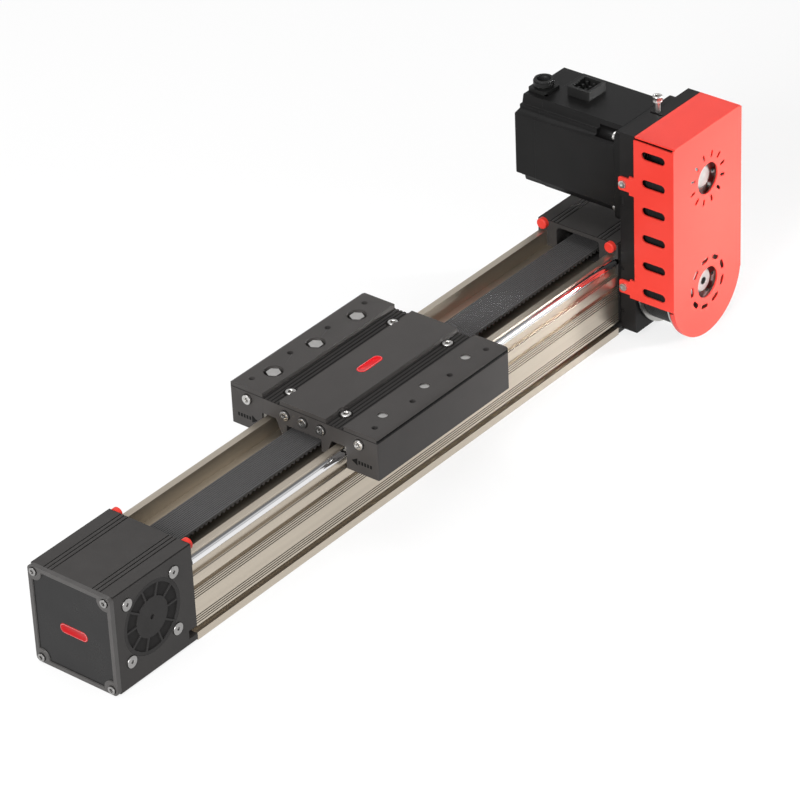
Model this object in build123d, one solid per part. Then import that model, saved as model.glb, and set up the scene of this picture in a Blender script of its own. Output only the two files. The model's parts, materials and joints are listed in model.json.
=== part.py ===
from build123d import *
import math
import os

os.makedirs("parts", exist_ok=True)

# Driving dimensions in millimetres. X runs along the rail from the idler end to
# the drive end, Z is up, and the origin is the middle of the rail's underside.

# Rail extrusion
RAIL_LENGTH = 522.0
RAIL_WIDTH = 80.0
WALL_TOP = 74.6
WALL_INNER = 31.4
WALL_OUTER = 37.3
CHANNEL_FLOOR = 61.0
SHOULDER_Z = 57.0
FLOOR_WEB = 6.0
SIDE_WEB = 8.0
BASE_WEB = 18.0
SLOT_MOUTH = 5.8
SLOT_HEAD = 11.0
SLOT_LIP = 2.4
SLOT_DEPTH = 8.0
SIDE_SLOT_Z = 9.5
BASE_SLOT_Y = 20.0
SENSOR_GROOVE_Z = 46.1
SENSOR_GROOVE_WIDTH = 3.8
SENSOR_GROOVE_DEPTH = 2.6
RIB_BAND_Z = (17.9, 40.0)
RIB_COUNT = 4
RIB_PITCH = 2.1
RIB_DEPTH = 0.45
SCREW_PORT_Y = 28.0
SCREW_PORT_Z = 13.0
UPPER_PORT_Y = 14.0
UPPER_PORT_Z = 51.0
UPPER_PORT_BOSS = 5.5

# Guide rods
ROD_RADIUS = 4.0
ROD_Y = 36.8
ROD_Z = 68.8

# End housings
HOUSING_LENGTH = 83.1
HOUSING_HEIGHT = 85.2
HOUSING_EDGE = 1.2
END_COVER = 4.0
PANEL_DEPTH = 1.2
RIM_WIDTH = 3.5
RIM_BEND = 7.4
CORNER_SEAT = 2.6
AXIS_Z = 47.0
AXIS_INSET = 45.25
BELT_ROOM = 21.5
ARCH_TOP = 81.0
ARCH_RADIUS = 3.0
INNER_WALL = 14.0
HOUSING_GROOVE_Y = 23.5
HOUSING_GROOVE_PITCH = 3.6
SIDE_SCREW_HALF = 25.0
SIDE_SEAT = 1.6
CORNER_SCREW_Y = 34.4
CORNER_SCREW_Z = (4.6, 80.5)
BUMPER_Y = 34.0
BUMPER_Z = 81.6
BUMPER_RADIUS = 4.7
BUMPER_OUT = 4.4
BUMPER_STEM = 6.0
BUMPER_STEM_RADIUS = 2.0

# Bearings, caps and shafts
BEARING_OUTER = 23.5
BEARING_WIDTH = 13.0
BEARING_SHOULDER = 2.0
SHAFT_RADIUS = 10.0
RUNNING_FIT = 0.04
CAP_RADIUS = 30.0
CAP_THICKNESS = 3.2
CAP_HUB_RADIUS = 16.5
CAP_SEGMENTS = 10

# Main toothed belt and its pulleys
MAIN_PITCH = 5.0
MAIN_TEETH = 28
MAIN_WIDTH = 30.0
MAIN_LINE = 0.572
MAIN_TOOTH = 2.08
MAIN_BACK = 1.15
MAIN_BASE = 3.0
MAIN_TIP = 1.1
FLANGE_THICKNESS = 1.5
FLANGE_RISE = 3.0
FLANGE_SIDE_GAP = 0.75
MESH_GAP = 0.2

# Reduction belt between motor and drive shaft
DRIVE_PITCH = 3.0
DRIVE_TEETH = 84
DRIVE_SPAN = 96.0
DRIVE_WIDTH = 25.5
DRIVE_LINE = 0.381
DRIVE_TOOTH = 1.2
DRIVE_BACK = 0.82
DRIVE_BASE = 1.9
DRIVE_TIP = 0.0
DRIVE_BELT_Y = -74.0
DRIVE_FLANGE_RISE = 3.5

# Belt case: plate and folded sheet cover
PLATE_PAD = 3.2
PLATE_THICKNESS = 14.1
PLATE_HALF = 45.3
PLATE_BOTTOM = 6.4
PLATE_TOP = 189.0
PLATE_CORNER = 3.0
PLATE_NOTCHES = ((23.5, 26.5), (63.2, 66.2), (122.4, 131.3))
TENSION_Y = -47.7
TENSION_HEAD_Z = 198.0
TENSION_SLOT = (-5.8, -3.6)
COVER_SHEET = 1.5
COVER_HALF = 46.85
COVER_FRONT = 96.5
COVER_BACK = 57.8
COVER_TOP = 189.2
COVER_WALL_END = 40.0
COVER_LIP = 4.5
COVER_SLOT_PITCH = 25.1
COVER_SLOT_TOP = 175.5
COVER_SLOT_COUNT = 6
COVER_SLOT_LENGTH = 22.5
COVER_SLOT_WIDTH = 7.5
COVER_SLOT_Y = -76.7
EYE_RADIUS = 13.6
TAB_HEIGHT = 12.0
TAB_Y = -47.0
TAB_ZS = (48.6, 143.7)
TAB_ROOT = 4.8
TAB_SHOULDER = 2.5

# Motor, 80 mm frame
MOTOR_HALF = 40.0
MOTOR_FLAT = 27.4
MOTOR_NOTCH = 33.0
MOTOR_FLANGE = 9.5
MOTOR_BODY_END = 46.0
MOTOR_END = 67.0
MOTOR_SCREW_HALF = 31.8
MOTOR_PILOT_RADIUS = 35.0
MOTOR_PILOT = 3.0
MOTOR_SHAFT_RADIUS = 9.5

# Carriage
CARRIAGE_X = -6.0
CARRIAGE_LENGTH = 160.6
CARRIAGE_TOP = 93.7
CARRIAGE_HALF = 72.4
CENTRE_HALF = 39.9
CENTRE_UNDERSIDE = 76.0
GROOVE_INNER = 22.5
GROOVE_FLOOR = 90.2
GROOVE_RIBS = 5
LEG_INNER = 17.0
LEG_FOOT = 62.9
LEG_FOOT_OUTER = 22.0
LEG_TOP_OUTER = 27.4
BELT_SLOT_TOP = 73.5
SIDE_BOTTOM = 56.9
BEVEL_RUN = 2.6
BEVEL_DROP = 1.2
SEAM_DEPTH = 0.9
SEAM_HEIGHT = 1.0
SEAM_BELOW = 0.2
SIDE_ROOF = 80.0
SIDE_WALL = 2.7
SIDE_INNER = 41.4
END_WALL = 11.6
JOIN_INNER = 22.0
JOIN_TOP = 82.0
CHANNEL_SCREW_X = 62.0
CHANNEL_SCREW_Y = 27.1
TAPPED_Y = 60.3
TAPPED_PITCH = 45.4
TAPPED_RADIUS = 2.5
PLUG_Y = 55.0
PLUG_Z = 83.5
CLAMP_SCREW_Y = 17.6
CLAMP_SCREW_Z = 82.4
BADGE_LENGTH = 27.0
BADGE_WIDTH = 8.6
BADGE_DEPTH = 0.8

# Rollers
ROLLER_Y = 53.7
ROLLER_PITCH = 50.5
ROLLER_RADIUS = 15.0
ROLLER_HEIGHT = 12.0
ROLLER_PIN_RADIUS = 4.0
ROD_CONTACT_GAP = 0.06

# Fasteners and seats
SEAT_GAP = 0.1
CLAMP_FIT = 0.02

# Values that follow from the sizes above
RAIL_HALF = RAIL_WIDTH / 2
RAIL_END = RAIL_LENGTH / 2
AXIS_X = RAIL_END + AXIS_INSET
MAIN_RADIUS = MAIN_PITCH * MAIN_TEETH / (2 * math.pi)
DRIVE_RADIUS = DRIVE_PITCH * DRIVE_TEETH / (2 * math.pi)
MOTOR_Z = AXIS_Z + DRIVE_SPAN
PLATE_BACK = -RAIL_HALF - PLATE_PAD
PLATE_FACE = PLATE_BACK - PLATE_THICKNESS


def rect(x0, x1, y0, y1):
    """Rectangle between two corners."""
    return Pos((x0 + x1) / 2, (y0 + y1) / 2) * Rectangle(x1 - x0, y1 - y0)


def disc(x, y, radius):
    """Circle face at a point."""
    return Pos(x, y) * Circle(radius)


def outline(points):
    """Closed face through corner points."""
    return make_face(Polyline(*points, close=True))


def along_x(face, x0, x1):
    """Extrude a face drawn in (Y, Z) from x0 to x1."""
    return extrude(Plane.YZ.offset(x0) * face, amount=x1 - x0)


def along_y(face, y0, y1):
    """Extrude a face drawn in (X, Z) from y0 to y1."""
    return extrude(Plane.XZ.offset(-y0) * face, amount=-(y1 - y0))


def along_z(face, z0, z1):
    """Extrude a face drawn in (X, Y) from z0 to z1."""
    return extrude(Plane.XY.offset(z0) * face, amount=z1 - z0)


def mirrored_y(shape):
    """The shape's mirror image on the other side of the rail."""
    return mirror(shape, about=Plane.XZ)


def write(name, *solids):
    """Export one node, a single solid or a group of separate solids."""
    pieces = [piece for item in solids for piece in item.solids()]
    export_step(pieces[0] if len(pieces) == 1 else Compound(pieces), f"parts/{name}.step")


def cap_screw(size, length):
    """Socket head cap screw, head underside at the origin, head towards +Z."""
    head = Cylinder(0.83 * size, size, align=(Align.CENTER, Align.CENTER, Align.MIN))
    head = chamfer(head.edges().group_by(Axis.Z)[-1], 0.1 * size)
    shank = Cylinder(size / 2 - SEAT_GAP, length, align=(Align.CENTER, Align.CENTER, Align.MAX))
    socket = Pos(0, 0, 0.45 * size) * extrude(RegularPolygon(0.48 * size, 6), amount=size)
    return head + shank - socket


def seated(shape, point, direction):
    """Place a shape built towards +Z at a point, facing a direction."""
    return Plane(origin=point, z_dir=direction).location * shape


def screw_hole(point, direction, size, length):
    """Clearance cylinder for a screw's shank, drilled against its head direction."""
    hole = Cylinder(size / 2, length, align=(Align.CENTER, Align.CENTER, Align.MAX))
    return seated(hole, point, direction)


def counterbore(point, direction, size, depth):
    """Round pocket for a screw head, its floor at the point."""
    pocket = Cylinder(0.83 * size + 0.3, depth, align=(Align.CENTER, Align.CENTER, Align.MIN))
    return seated(pocket, point, direction)


def rail_section():
    """Cross-section of the extrusion, drawn in (Y, Z)."""
    half = [
        (RAIL_HALF, 0),
        (RAIL_HALF, SHOULDER_Z - 1.0),
        (RAIL_HALF - 1.0, SHOULDER_Z),
        (WALL_OUTER, SHOULDER_Z),
        (WALL_OUTER, WALL_TOP),
        (WALL_INNER, WALL_TOP),
        (WALL_INNER, CHANNEL_FLOOR),
    ]
    body = outline(half + [(-y, z) for y, z in reversed(half)])
    cavity_half = RAIL_HALF - SIDE_WEB
    cavity_top = CHANNEL_FLOOR - FLOOR_WEB
    cavity = Pos(0, (BASE_WEB + cavity_top) / 2) * RectangleRounded(
        2 * cavity_half, cavity_top - BASE_WEB, 3.0
    )
    body -= cavity
    for side in (-1, 1):
        body += disc(side * UPPER_PORT_Y, UPPER_PORT_Z, UPPER_PORT_BOSS)
        body -= disc(side * UPPER_PORT_Y, UPPER_PORT_Z, 2.5)
        body -= disc(side * SCREW_PORT_Y, SCREW_PORT_Z, 3.0)
        body -= disc(side * ROD_Y, ROD_Z, ROD_RADIUS)
        face = side * RAIL_HALF
        body -= rect(*sorted((face, face - side * SLOT_DEPTH)),
                     SIDE_SLOT_Z - SLOT_MOUTH / 2, SIDE_SLOT_Z + SLOT_MOUTH / 2)
        body -= rect(*sorted((face - side * SLOT_LIP, face - side * (SLOT_DEPTH - 1.6))),
                     SIDE_SLOT_Z - SLOT_HEAD / 2, SIDE_SLOT_Z + SLOT_HEAD / 2)
        base = side * BASE_SLOT_Y
        body -= rect(base - SLOT_MOUTH / 2, base + SLOT_MOUTH / 2, 0, SLOT_DEPTH)
        body -= rect(base - SLOT_HEAD / 2, base + SLOT_HEAD / 2, SLOT_LIP, SLOT_DEPTH - 1.6)
        body -= rect(*sorted((face, face - side * SENSOR_GROOVE_DEPTH)),
                     SENSOR_GROOVE_Z - SENSOR_GROOVE_WIDTH / 2,
                     SENSOR_GROOVE_Z + SENSOR_GROOVE_WIDTH / 2)
        for band in RIB_BAND_Z:
            for i in range(RIB_COUNT):
                z = band + (i - (RIB_COUNT - 1) / 2) * RIB_PITCH
                body -= rect(*sorted((face, face - side * RIB_DEPTH)), z - 0.5, z + 0.5)
    return body


def rail_profile():
    """Aluminium extrusion with its belt channel, return cavity and T-slots."""
    return along_x(rail_section(), -RAIL_END, RAIL_END)


def guide_rod(side):
    """Hardened round rod seated in the outer flank of a rail wall."""
    rod = along_x(disc(side * ROD_Y, ROD_Z, ROD_RADIUS), -RAIL_END, RAIL_END)
    return rod


def end_x(end, distance):
    """X of a plane a distance outwards from the rail's end, on either end."""
    return end * (RAIL_END + distance)


def span_x(end, near, far):
    """Sorted pair of X planes between two distances outside a rail end."""
    return sorted((end_x(end, near), end_x(end, far)))


def housing(end):
    """End block with belt passages, bearing seats, screw holes and top grooves."""
    body = along_x(rect(-RAIL_HALF, RAIL_HALF, 0, HOUSING_HEIGHT), *span_x(end, 0, HOUSING_LENGTH))
    body = chamfer(body.edges().filter_by(Axis.X), HOUSING_EDGE)
    room = along_x(
        rect(-BELT_ROOM, BELT_ROOM, AXIS_Z - 30, AXIS_Z + 30),
        *span_x(end, INNER_WALL, HOUSING_LENGTH),
    )
    top_way = along_x(
        Pos(0, (CHANNEL_FLOOR + ARCH_TOP) / 2)
        * RectangleRounded(2 * BELT_ROOM, ARCH_TOP - CHANNEL_FLOOR, ARCH_RADIUS),
        *span_x(end, 0, INNER_WALL + 10),
    )
    low_way = along_x(
        rect(-BELT_ROOM, BELT_ROOM, BASE_WEB + 1, BASE_WEB + 16), *span_x(end, 0, INNER_WALL + 1)
    )
    body = body - room - top_way - low_way
    axis = end * AXIS_X
    for side in (-1, 1):
        seat = sorted((side * (BELT_ROOM + BEARING_SHOULDER), side * (RAIL_HALF + 1)))
        body -= along_y(disc(axis, AXIS_Z, BEARING_OUTER), *seat)
        throat = sorted((side * (BELT_ROOM - 1), side * (BELT_ROOM + BEARING_SHOULDER + 1)))
        body -= along_y(disc(axis, AXIS_Z, BEARING_OUTER - 3), *throat)
        recess = sorted((side * (RAIL_HALF - CAP_THICKNESS), side * (RAIL_HALF + 1)))
        body -= along_y(disc(axis, AXIS_Z, CAP_RADIUS), *recess)
        body -= screw_hole((end_x(end, HOUSING_LENGTH), side * SCREW_PORT_Y, SCREW_PORT_Z),
                           (end, 0, 0), 6.4, HOUSING_LENGTH)
        body -= counterbore((end_x(end, HOUSING_LENGTH - 7), side * SCREW_PORT_Y, SCREW_PORT_Z),
                            (end, 0, 0), 6.0, 8.0)
        for y, z in corner_points():
            if y * side > 0:
                body -= screw_hole((end_x(end, HOUSING_LENGTH), y, z), (end, 0, 0), 4.0, 12)
        for dx in (-SIDE_SCREW_HALF, SIDE_SCREW_HALF):
            for dz in (-SIDE_SCREW_HALF, SIDE_SCREW_HALF):
                seat_point = (axis + dx, side * (RAIL_HALF - SIDE_SEAT), AXIS_Z + dz)
                body -= counterbore(seat_point, (0, side, 0), 6.0, 3.0)
                body -= screw_hole(seat_point, (0, side, 0), 6.0, 13.0)
        stem = (end_x(end, 0), side * BUMPER_Y, BUMPER_Z - 1.8)
        body -= screw_hole(stem, (-end, 0, 0), 2 * BUMPER_STEM_RADIUS, BUMPER_STEM)
        for i in (-1, 0, 1):
            y = side * HOUSING_GROOVE_Y + i * HOUSING_GROOVE_PITCH
            body -= along_x(rect(y - 0.5, y + 0.5, HOUSING_HEIGHT - 0.6, HOUSING_HEIGHT),
                            *span_x(end, 0, HOUSING_LENGTH))
        foot = sorted((side * (RAIL_HALF - SLOT_DEPTH), side * RAIL_HALF))
        body -= along_x(rect(*foot, SIDE_SLOT_Z - 3.5, SIDE_SLOT_Z + 3.5), *span_x(end, 0, 9.0))
        upper = (end_x(end, INNER_WALL - 6.0), side * UPPER_PORT_Y, UPPER_PORT_Z)
        body -= counterbore(upper, (end, 0, 0), 5.0, 7.0)
        body -= screw_hole(upper, (end, 0, 0), 5.0, INNER_WALL)
    return body


def corner_points():
    """(Y, Z) of the four corner screws of an end cover."""
    return [(y, z) for y in (-CORNER_SCREW_Y, CORNER_SCREW_Y) for z in CORNER_SCREW_Z]


def end_cover(end):
    """End plate with a raised rim that bends round its corner screws."""
    near, far = HOUSING_LENGTH, HOUSING_LENGTH + END_COVER
    plate = along_x(
        Pos(0, HOUSING_HEIGHT / 2) * RectangleRounded(2 * RAIL_HALF, HOUSING_HEIGHT, 4.0),
        *span_x(end, near, far),
    )
    panel = Pos(0, HOUSING_HEIGHT / 2) * RectangleRounded(
        2 * (RAIL_HALF - RIM_WIDTH), HOUSING_HEIGHT - 2 * RIM_WIDTH, 3.0
    )
    for y, z in corner_points():
        panel -= disc(y, z, RIM_BEND)
    plate -= along_x(panel, *span_x(end, far - PANEL_DEPTH, far))
    for y, z in corner_points():
        seat = (end_x(end, far - CORNER_SEAT), y, z)
        plate -= counterbore(seat, (end, 0, 0), 4.0, 4.0)
        plate -= screw_hole(seat, (end, 0, 0), 4.0, 6.0)
    if end < 0:
        plate -= badge_face_pocket(end_x(end, far - PANEL_DEPTH))
    return plate


def badge_face_pocket(x):
    """Pocket in the idler cover's panel for its plain inlay, opening towards -X."""
    return along_x(Pos(0, 40.0) * SlotOverall(BADGE_LENGTH, BADGE_WIDTH), x, x + BADGE_DEPTH)


def badges():
    """Plain blank inlays in the carriage top and in the idler end cover."""
    flat = SlotOverall(BADGE_LENGTH, BADGE_WIDTH)
    top = along_z(Pos(CARRIAGE_X, 0) * flat, CARRIAGE_TOP - BADGE_DEPTH, CARRIAGE_TOP)
    x = end_x(-1, HOUSING_LENGTH + END_COVER - PANEL_DEPTH)
    face = along_x(Pos(0, 40.0) * flat, x - 0.3, x + BADGE_DEPTH)
    return top, face


def cover_screws(end):
    """Four corner screws of an end cover."""
    screw = cap_screw(4.0, 12.0)
    x = end_x(end, HOUSING_LENGTH + END_COVER - CORNER_SEAT)
    return [seated(screw, (x, y, z), (end, 0, 0)) for y, z in corner_points()]


def tie_bolts():
    """Long bolts that hold both housings to the rail's screw ports."""
    bolt = cap_screw(6.0, HOUSING_LENGTH - 7.0)
    return [
        seated(bolt, (end_x(end, HOUSING_LENGTH - 7.0), side * SCREW_PORT_Y, SCREW_PORT_Z), (end, 0, 0))
        for end in (-1, 1) for side in (-1, 1)
    ]


def upper_tie_bolts():
    """Short bolts behind the pulleys that hold both housings to the upper ports."""
    bolt = cap_screw(5.0, 18.0)
    return [
        seated(bolt, (end_x(end, INNER_WALL - 6.0), side * UPPER_PORT_Y, UPPER_PORT_Z), (end, 0, 0))
        for end in (-1, 1) for side in (-1, 1)
    ]


def side_screws(end, sides):
    """Screws round a bearing seat, on one or both flanks of a housing."""
    screw = cap_screw(6.0, 12.0)
    return [
        seated(screw, (end * AXIS_X + dx, side * (RAIL_HALF - SIDE_SEAT), AXIS_Z + dz), (0, side, 0))
        for side in sides
        for dx in (-SIDE_SCREW_HALF, SIDE_SCREW_HALF)
        for dz in (-SIDE_SCREW_HALF, SIDE_SCREW_HALF)
    ]


def bearing_cap(end, side):
    """Round cap over a bearing: a hub, an outer ring and ten wedge panels."""
    outer = RAIL_HALF
    inner = RAIL_HALF - CAP_THICKNESS
    x = end * AXIS_X
    cap = along_y(disc(x, AXIS_Z, CAP_RADIUS - SEAT_GAP), *sorted((side * inner, side * outer)))
    ring = disc(x, AXIS_Z, CAP_RADIUS - 3.0) - disc(x, AXIS_Z, CAP_HUB_RADIUS)
    for i in range(CAP_SEGMENTS):
        spoke = Pos(CAP_RADIUS / 2 + 5, 0) * Rectangle(CAP_RADIUS + 10, 1.6)
        ring -= Pos(x, AXIS_Z) * Rot(0, 0, 360 * i / CAP_SEGMENTS) * spoke
    cap -= along_y(ring, *sorted((side * (outer - 1.2), side * outer)))
    cap -= along_y(disc(x, AXIS_Z, 2.0), *sorted((side * (outer - 1.6), side * outer)))
    return cap


def bearing(end, side):
    """Ball bearing as one ring with a shield groove on each face."""
    near = BELT_ROOM + BEARING_SHOULDER
    section = disc(end * AXIS_X, AXIS_Z, BEARING_OUTER - 0.01)
    section -= disc(end * AXIS_X, AXIS_Z, SHAFT_RADIUS + RUNNING_FIT)
    ring = along_y(section, *sorted((side * near, side * (near + BEARING_WIDTH))))
    shield = disc(end * AXIS_X, AXIS_Z, 19.0) - disc(end * AXIS_X, AXIS_Z, 14.5)
    for face in (near, near + BEARING_WIDTH - 0.8):
        ring -= along_y(shield, *sorted((side * face, side * (face + 0.8))))
    return ring


def bumpers():
    """Four round rubber stops, each with a stem pressed into a housing face."""
    made = []
    for end in (-1, 1):
        for side in (-1, 1):
            y = side * BUMPER_Y
            pad = along_x(disc(y, BUMPER_Z, BUMPER_RADIUS), *span_x(end, -BUMPER_OUT, 0))
            pad = chamfer(pad.edges().group_by(Axis.X)[0 if end > 0 else -1], 0.8)
            stem = along_x(disc(y, BUMPER_Z - 1.8, BUMPER_STEM_RADIUS - 0.02),
                           *span_x(end, 0, BUMPER_STEM - 0.5))
            made.append(pad + stem)
    return made


def loop_point(s, inset, span, radius):
    """Point on a belt loop round two equal pulleys, a distance along its pitch line.

    The loop starts at the top of the pulley at (0, 0) and runs towards (span, 0).
    """
    arc = math.pi * radius
    r = radius - inset
    s = s % (2 * span + 2 * arc)
    if s <= span:
        return (s, r)
    if s <= span + arc:
        turn = (s - span) / radius
        return (span + r * math.sin(turn), r * math.cos(turn))
    if s <= 2 * span + arc:
        return (span - (s - span - arc), -r)
    turn = (s - 2 * span - arc) / radius
    return (-r * math.sin(turn), -r * math.cos(turn))


def crests(width):
    """Offsets of a tooth's crest corners: one for a pointed tooth, two for a flat one."""
    return (-width / 2, width / 2) if width else (0.0,)


def belt_face(span, radius, pitch, line, tooth, back, base, tip):
    """Closed toothed belt: smooth back outside, trapezoid teeth inside."""
    count = round((2 * span + 2 * math.pi * radius) / pitch)
    teeth = []
    for i in range(count):
        s = i * pitch
        teeth.append(loop_point(s - base / 2, line, span, radius))
        for crest in crests(tip):
            teeth.append(loop_point(s + crest, line + tooth, span, radius))
        teeth.append(loop_point(s + base / 2, line, span, radius))
    shell = Pos(span / 2, 0) * SlotCenterToCenter(span, 2 * (radius + back))
    return shell - outline(teeth)


def pulley_face(teeth, radius, line, tooth, base, tip, turn):
    """Toothed wheel with a groove at each tooth of its belt; turn is the first one's angle."""
    points = []
    rim = radius - line - MESH_GAP
    root = radius - line - tooth - MESH_GAP
    mouth_half = base / 2 + MESH_GAP
    groove = [(root, -d * (1 + 2 * MESH_GAP / tip) if tip else 0.0) for d in crests(tip)]
    for i in range(teeth):
        a = turn - 2 * math.pi * i / teeth
        for r, d in [(rim, mouth_half)] + groove + [(rim, -mouth_half)]:
            points.append((r * math.cos(a + d / radius), r * math.sin(a + d / radius)))
    return outline(points)


def flanged_pulley(face, x, z, y_mid, width, flange_radius, bore):
    """Toothed wheel about Y between two thin flanges, with a bore."""
    half = width / 2 + FLANGE_SIDE_GAP
    wheel = along_y(Pos(x, z) * face, y_mid - half, y_mid + half)
    rim = disc(x, z, flange_radius)
    wheel += along_y(rim, y_mid - half - FLANGE_THICKNESS, y_mid - half)
    wheel += along_y(rim, y_mid + half, y_mid + half + FLANGE_THICKNESS)
    reach = half + FLANGE_THICKNESS + 1
    return wheel - along_y(disc(x, z, bore), y_mid - reach, y_mid + reach)


def main_belt():
    """Long toothed belt through the channel, round both pulleys and back inside the rail."""
    face = belt_face(2 * AXIS_X, MAIN_RADIUS, MAIN_PITCH, MAIN_LINE, MAIN_TOOTH, MAIN_BACK,
                     MAIN_BASE, MAIN_TIP)
    return along_y(Pos(-AXIS_X, AXIS_Z) * face, -MAIN_WIDTH / 2, MAIN_WIDTH / 2)


def main_pulley(end):
    """Toothed pulley of the main belt, in mesh with it at rest."""
    arrival = 0.0 if end < 0 else 2 * AXIS_X
    step = math.ceil(arrival / MAIN_PITCH) * MAIN_PITCH - arrival
    turn = math.pi / 2 - step / MAIN_RADIUS
    face = pulley_face(MAIN_TEETH, MAIN_RADIUS, MAIN_LINE, MAIN_TOOTH, MAIN_BASE, MAIN_TIP, turn)
    flange = MAIN_RADIUS + MAIN_BACK + FLANGE_RISE
    return flanged_pulley(face, end * AXIS_X, AXIS_Z, 0, MAIN_WIDTH, flange, SHAFT_RADIUS)


def reduction_belt():
    """Short toothed belt from the motor pulley down to the drive shaft."""
    face = belt_face(DRIVE_SPAN, DRIVE_RADIUS, DRIVE_PITCH, DRIVE_LINE, DRIVE_TOOTH, DRIVE_BACK,
                     DRIVE_BASE, DRIVE_TIP)
    placed = Pos(AXIS_X, AXIS_Z) * Rot(0, 0, 90) * face
    return along_y(placed, DRIVE_BELT_Y - DRIVE_WIDTH / 2, DRIVE_BELT_Y + DRIVE_WIDTH / 2)


def reduction_pulley(z, bore):
    """Flanged pulley of the reduction belt, at either height."""
    arrival = 0.0 if z == AXIS_Z else DRIVE_SPAN
    step = math.ceil(arrival / DRIVE_PITCH) * DRIVE_PITCH - arrival
    turn = math.pi - step / DRIVE_RADIUS
    face = pulley_face(DRIVE_TEETH, DRIVE_RADIUS, DRIVE_LINE, DRIVE_TOOTH, DRIVE_BASE, DRIVE_TIP, turn)
    flange = DRIVE_RADIUS + DRIVE_BACK + DRIVE_FLANGE_RISE
    wheel = flanged_pulley(face, AXIS_X, z, DRIVE_BELT_Y, DRIVE_WIDTH, flange, bore)
    front = DRIVE_BELT_Y - DRIVE_WIDTH / 2 - FLANGE_SIDE_GAP - FLANGE_THICKNESS
    dish = disc(AXIS_X, z, 33.0) - disc(AXIS_X, z, 19.0)
    wheel -= along_y(dish, front, front + 9.0)
    return wheel


def idler_shaft():
    """Plain shaft of the idler pulley, carried by two bearings."""
    reach = BELT_ROOM + BEARING_SHOULDER + BEARING_WIDTH - 1.0
    return along_y(disc(-AXIS_X, AXIS_Z, SHAFT_RADIUS), -reach, reach)


def drive_shaft():
    """Drive shaft through both bearings and the plate to the lower belt pulley."""
    reach = BELT_ROOM + BEARING_SHOULDER + BEARING_WIDTH - 1.0
    nose = COVER_FRONT - COVER_SHEET - 2.6
    shaft = along_y(disc(AXIS_X, AXIS_Z, SHAFT_RADIUS), -nose, reach)
    shaft = chamfer(shaft.edges().group_by(Axis.Y)[0], 1.2)
    return shaft - along_y(disc(AXIS_X, AXIS_Z, 3.3), -nose, -nose + 14)


def motor_shaft():
    """Motor output shaft with its pulley end."""
    nose = COVER_FRONT - COVER_SHEET - 3.4
    shaft = along_y(disc(AXIS_X, MOTOR_Z, MOTOR_SHAFT_RADIUS), -nose, PLATE_BACK + MOTOR_FLANGE - 2.1)
    return chamfer(shaft.edges().group_by(Axis.Y)[0], 1.0)


def clamp_ring(z, radius):
    """Locking collar with six small screws round a pulley's shaft end."""
    front = DRIVE_BELT_Y - DRIVE_WIDTH / 2 - FLANGE_SIDE_GAP - FLANGE_THICKNESS
    ring = disc(AXIS_X, z, 17.5) - disc(AXIS_X, z, radius)
    for i in range(6):
        a = math.pi * i / 3
        ring -= disc(AXIS_X + 14.0 * math.cos(a), z + 14.0 * math.sin(a), 1.5)
    return along_y(ring, front - 2.4, front)


def drive_housing():
    """Drive end block, open on its -Y flank for the shaft to the belt case."""
    return housing(1)


def belt_case_plate():
    """Plate that carries the motor, with a pad and spigot against the drive housing."""
    x0, x1 = AXIS_X - PLATE_HALF, AXIS_X + PLATE_HALF
    face = rect(x0, x1, PLATE_BOTTOM, PLATE_TOP)
    face = fillet(face.vertices().group_by(Axis.Y)[0], PLATE_CORNER)
    plate = along_y(face, PLATE_FACE, PLATE_BACK)
    pad = Pos(AXIS_X - 1.8, 44.0) * RectangleRounded(81.0, 74.0, 5.0)
    plate += along_y(pad, PLATE_BACK, -RAIL_HALF)
    plate += along_y(disc(AXIS_X, AXIS_Z, CAP_RADIUS - SEAT_GAP / 2), -RAIL_HALF, -RAIL_HALF + CAP_THICKNESS)
    plate -= along_y(disc(AXIS_X, MOTOR_Z, MOTOR_PILOT_RADIUS), PLATE_FACE, PLATE_BACK)
    plate -= along_y(disc(AXIS_X, AXIS_Z, SHAFT_RADIUS + 2.0), PLATE_FACE, -RAIL_HALF + CAP_THICKNESS)
    slot = rect(AXIS_X + TENSION_SLOT[0], AXIS_X + TENSION_SLOT[1], PLATE_TOP - 8.0, PLATE_TOP)
    plate -= along_y(slot, PLATE_FACE + 1.7, PLATE_BACK)
    plate -= along_z(disc(AXIS_X, TENSION_Y, 2.5), PLATE_TOP - 10, PLATE_TOP)
    step = rect(AXIS_X + 25.8, x1, PLATE_TOP - 2.5, PLATE_TOP)
    plate -= along_y(step, PLATE_BACK - 2.5, PLATE_BACK)
    for low, high in PLATE_NOTCHES:
        plate -= along_y(rect(x0, x0 + 1.6, low, high), PLATE_BACK - 3.0, PLATE_BACK)
    for dx in (-MOTOR_SCREW_HALF, MOTOR_SCREW_HALF):
        for dz in (-MOTOR_SCREW_HALF, MOTOR_SCREW_HALF):
            hole = disc(AXIS_X + dx, MOTOR_Z + dz, 2.6)
            plate -= along_y(hole, PLATE_BACK - 9.0, PLATE_BACK)
    for x, z in plate_screw_points():
        seat = (x, PLATE_FACE + 7.0, z)
        plate -= counterbore(seat, (0, -1, 0), 6.0, 8.0)
        plate -= screw_hole(seat, (0, -1, 0), 6.0, PLATE_THICKNESS)
    for side in (-1, 1):
        for z in TAB_ZS:
            seat = (AXIS_X + side * PLATE_HALF, TAB_Y, z)
            plate -= screw_hole(seat, (side, 0, 0), 4.0, 8.0)
    return plate


def plate_screw_points():
    """(X, Z) of the screws that hold the plate to the drive housing."""
    return [(AXIS_X + dx, AXIS_Z + dz)
            for dx in (-SIDE_SCREW_HALF, SIDE_SCREW_HALF)
            for dz in (-SIDE_SCREW_HALF, SIDE_SCREW_HALF)]


def plate_screws():
    """Screws through the plate into the drive housing."""
    screw = cap_screw(6.0, 21.0)
    return [seated(screw, (x, PLATE_FACE + 7.0, z), (0, -1, 0)) for x, z in plate_screw_points()]


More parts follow.
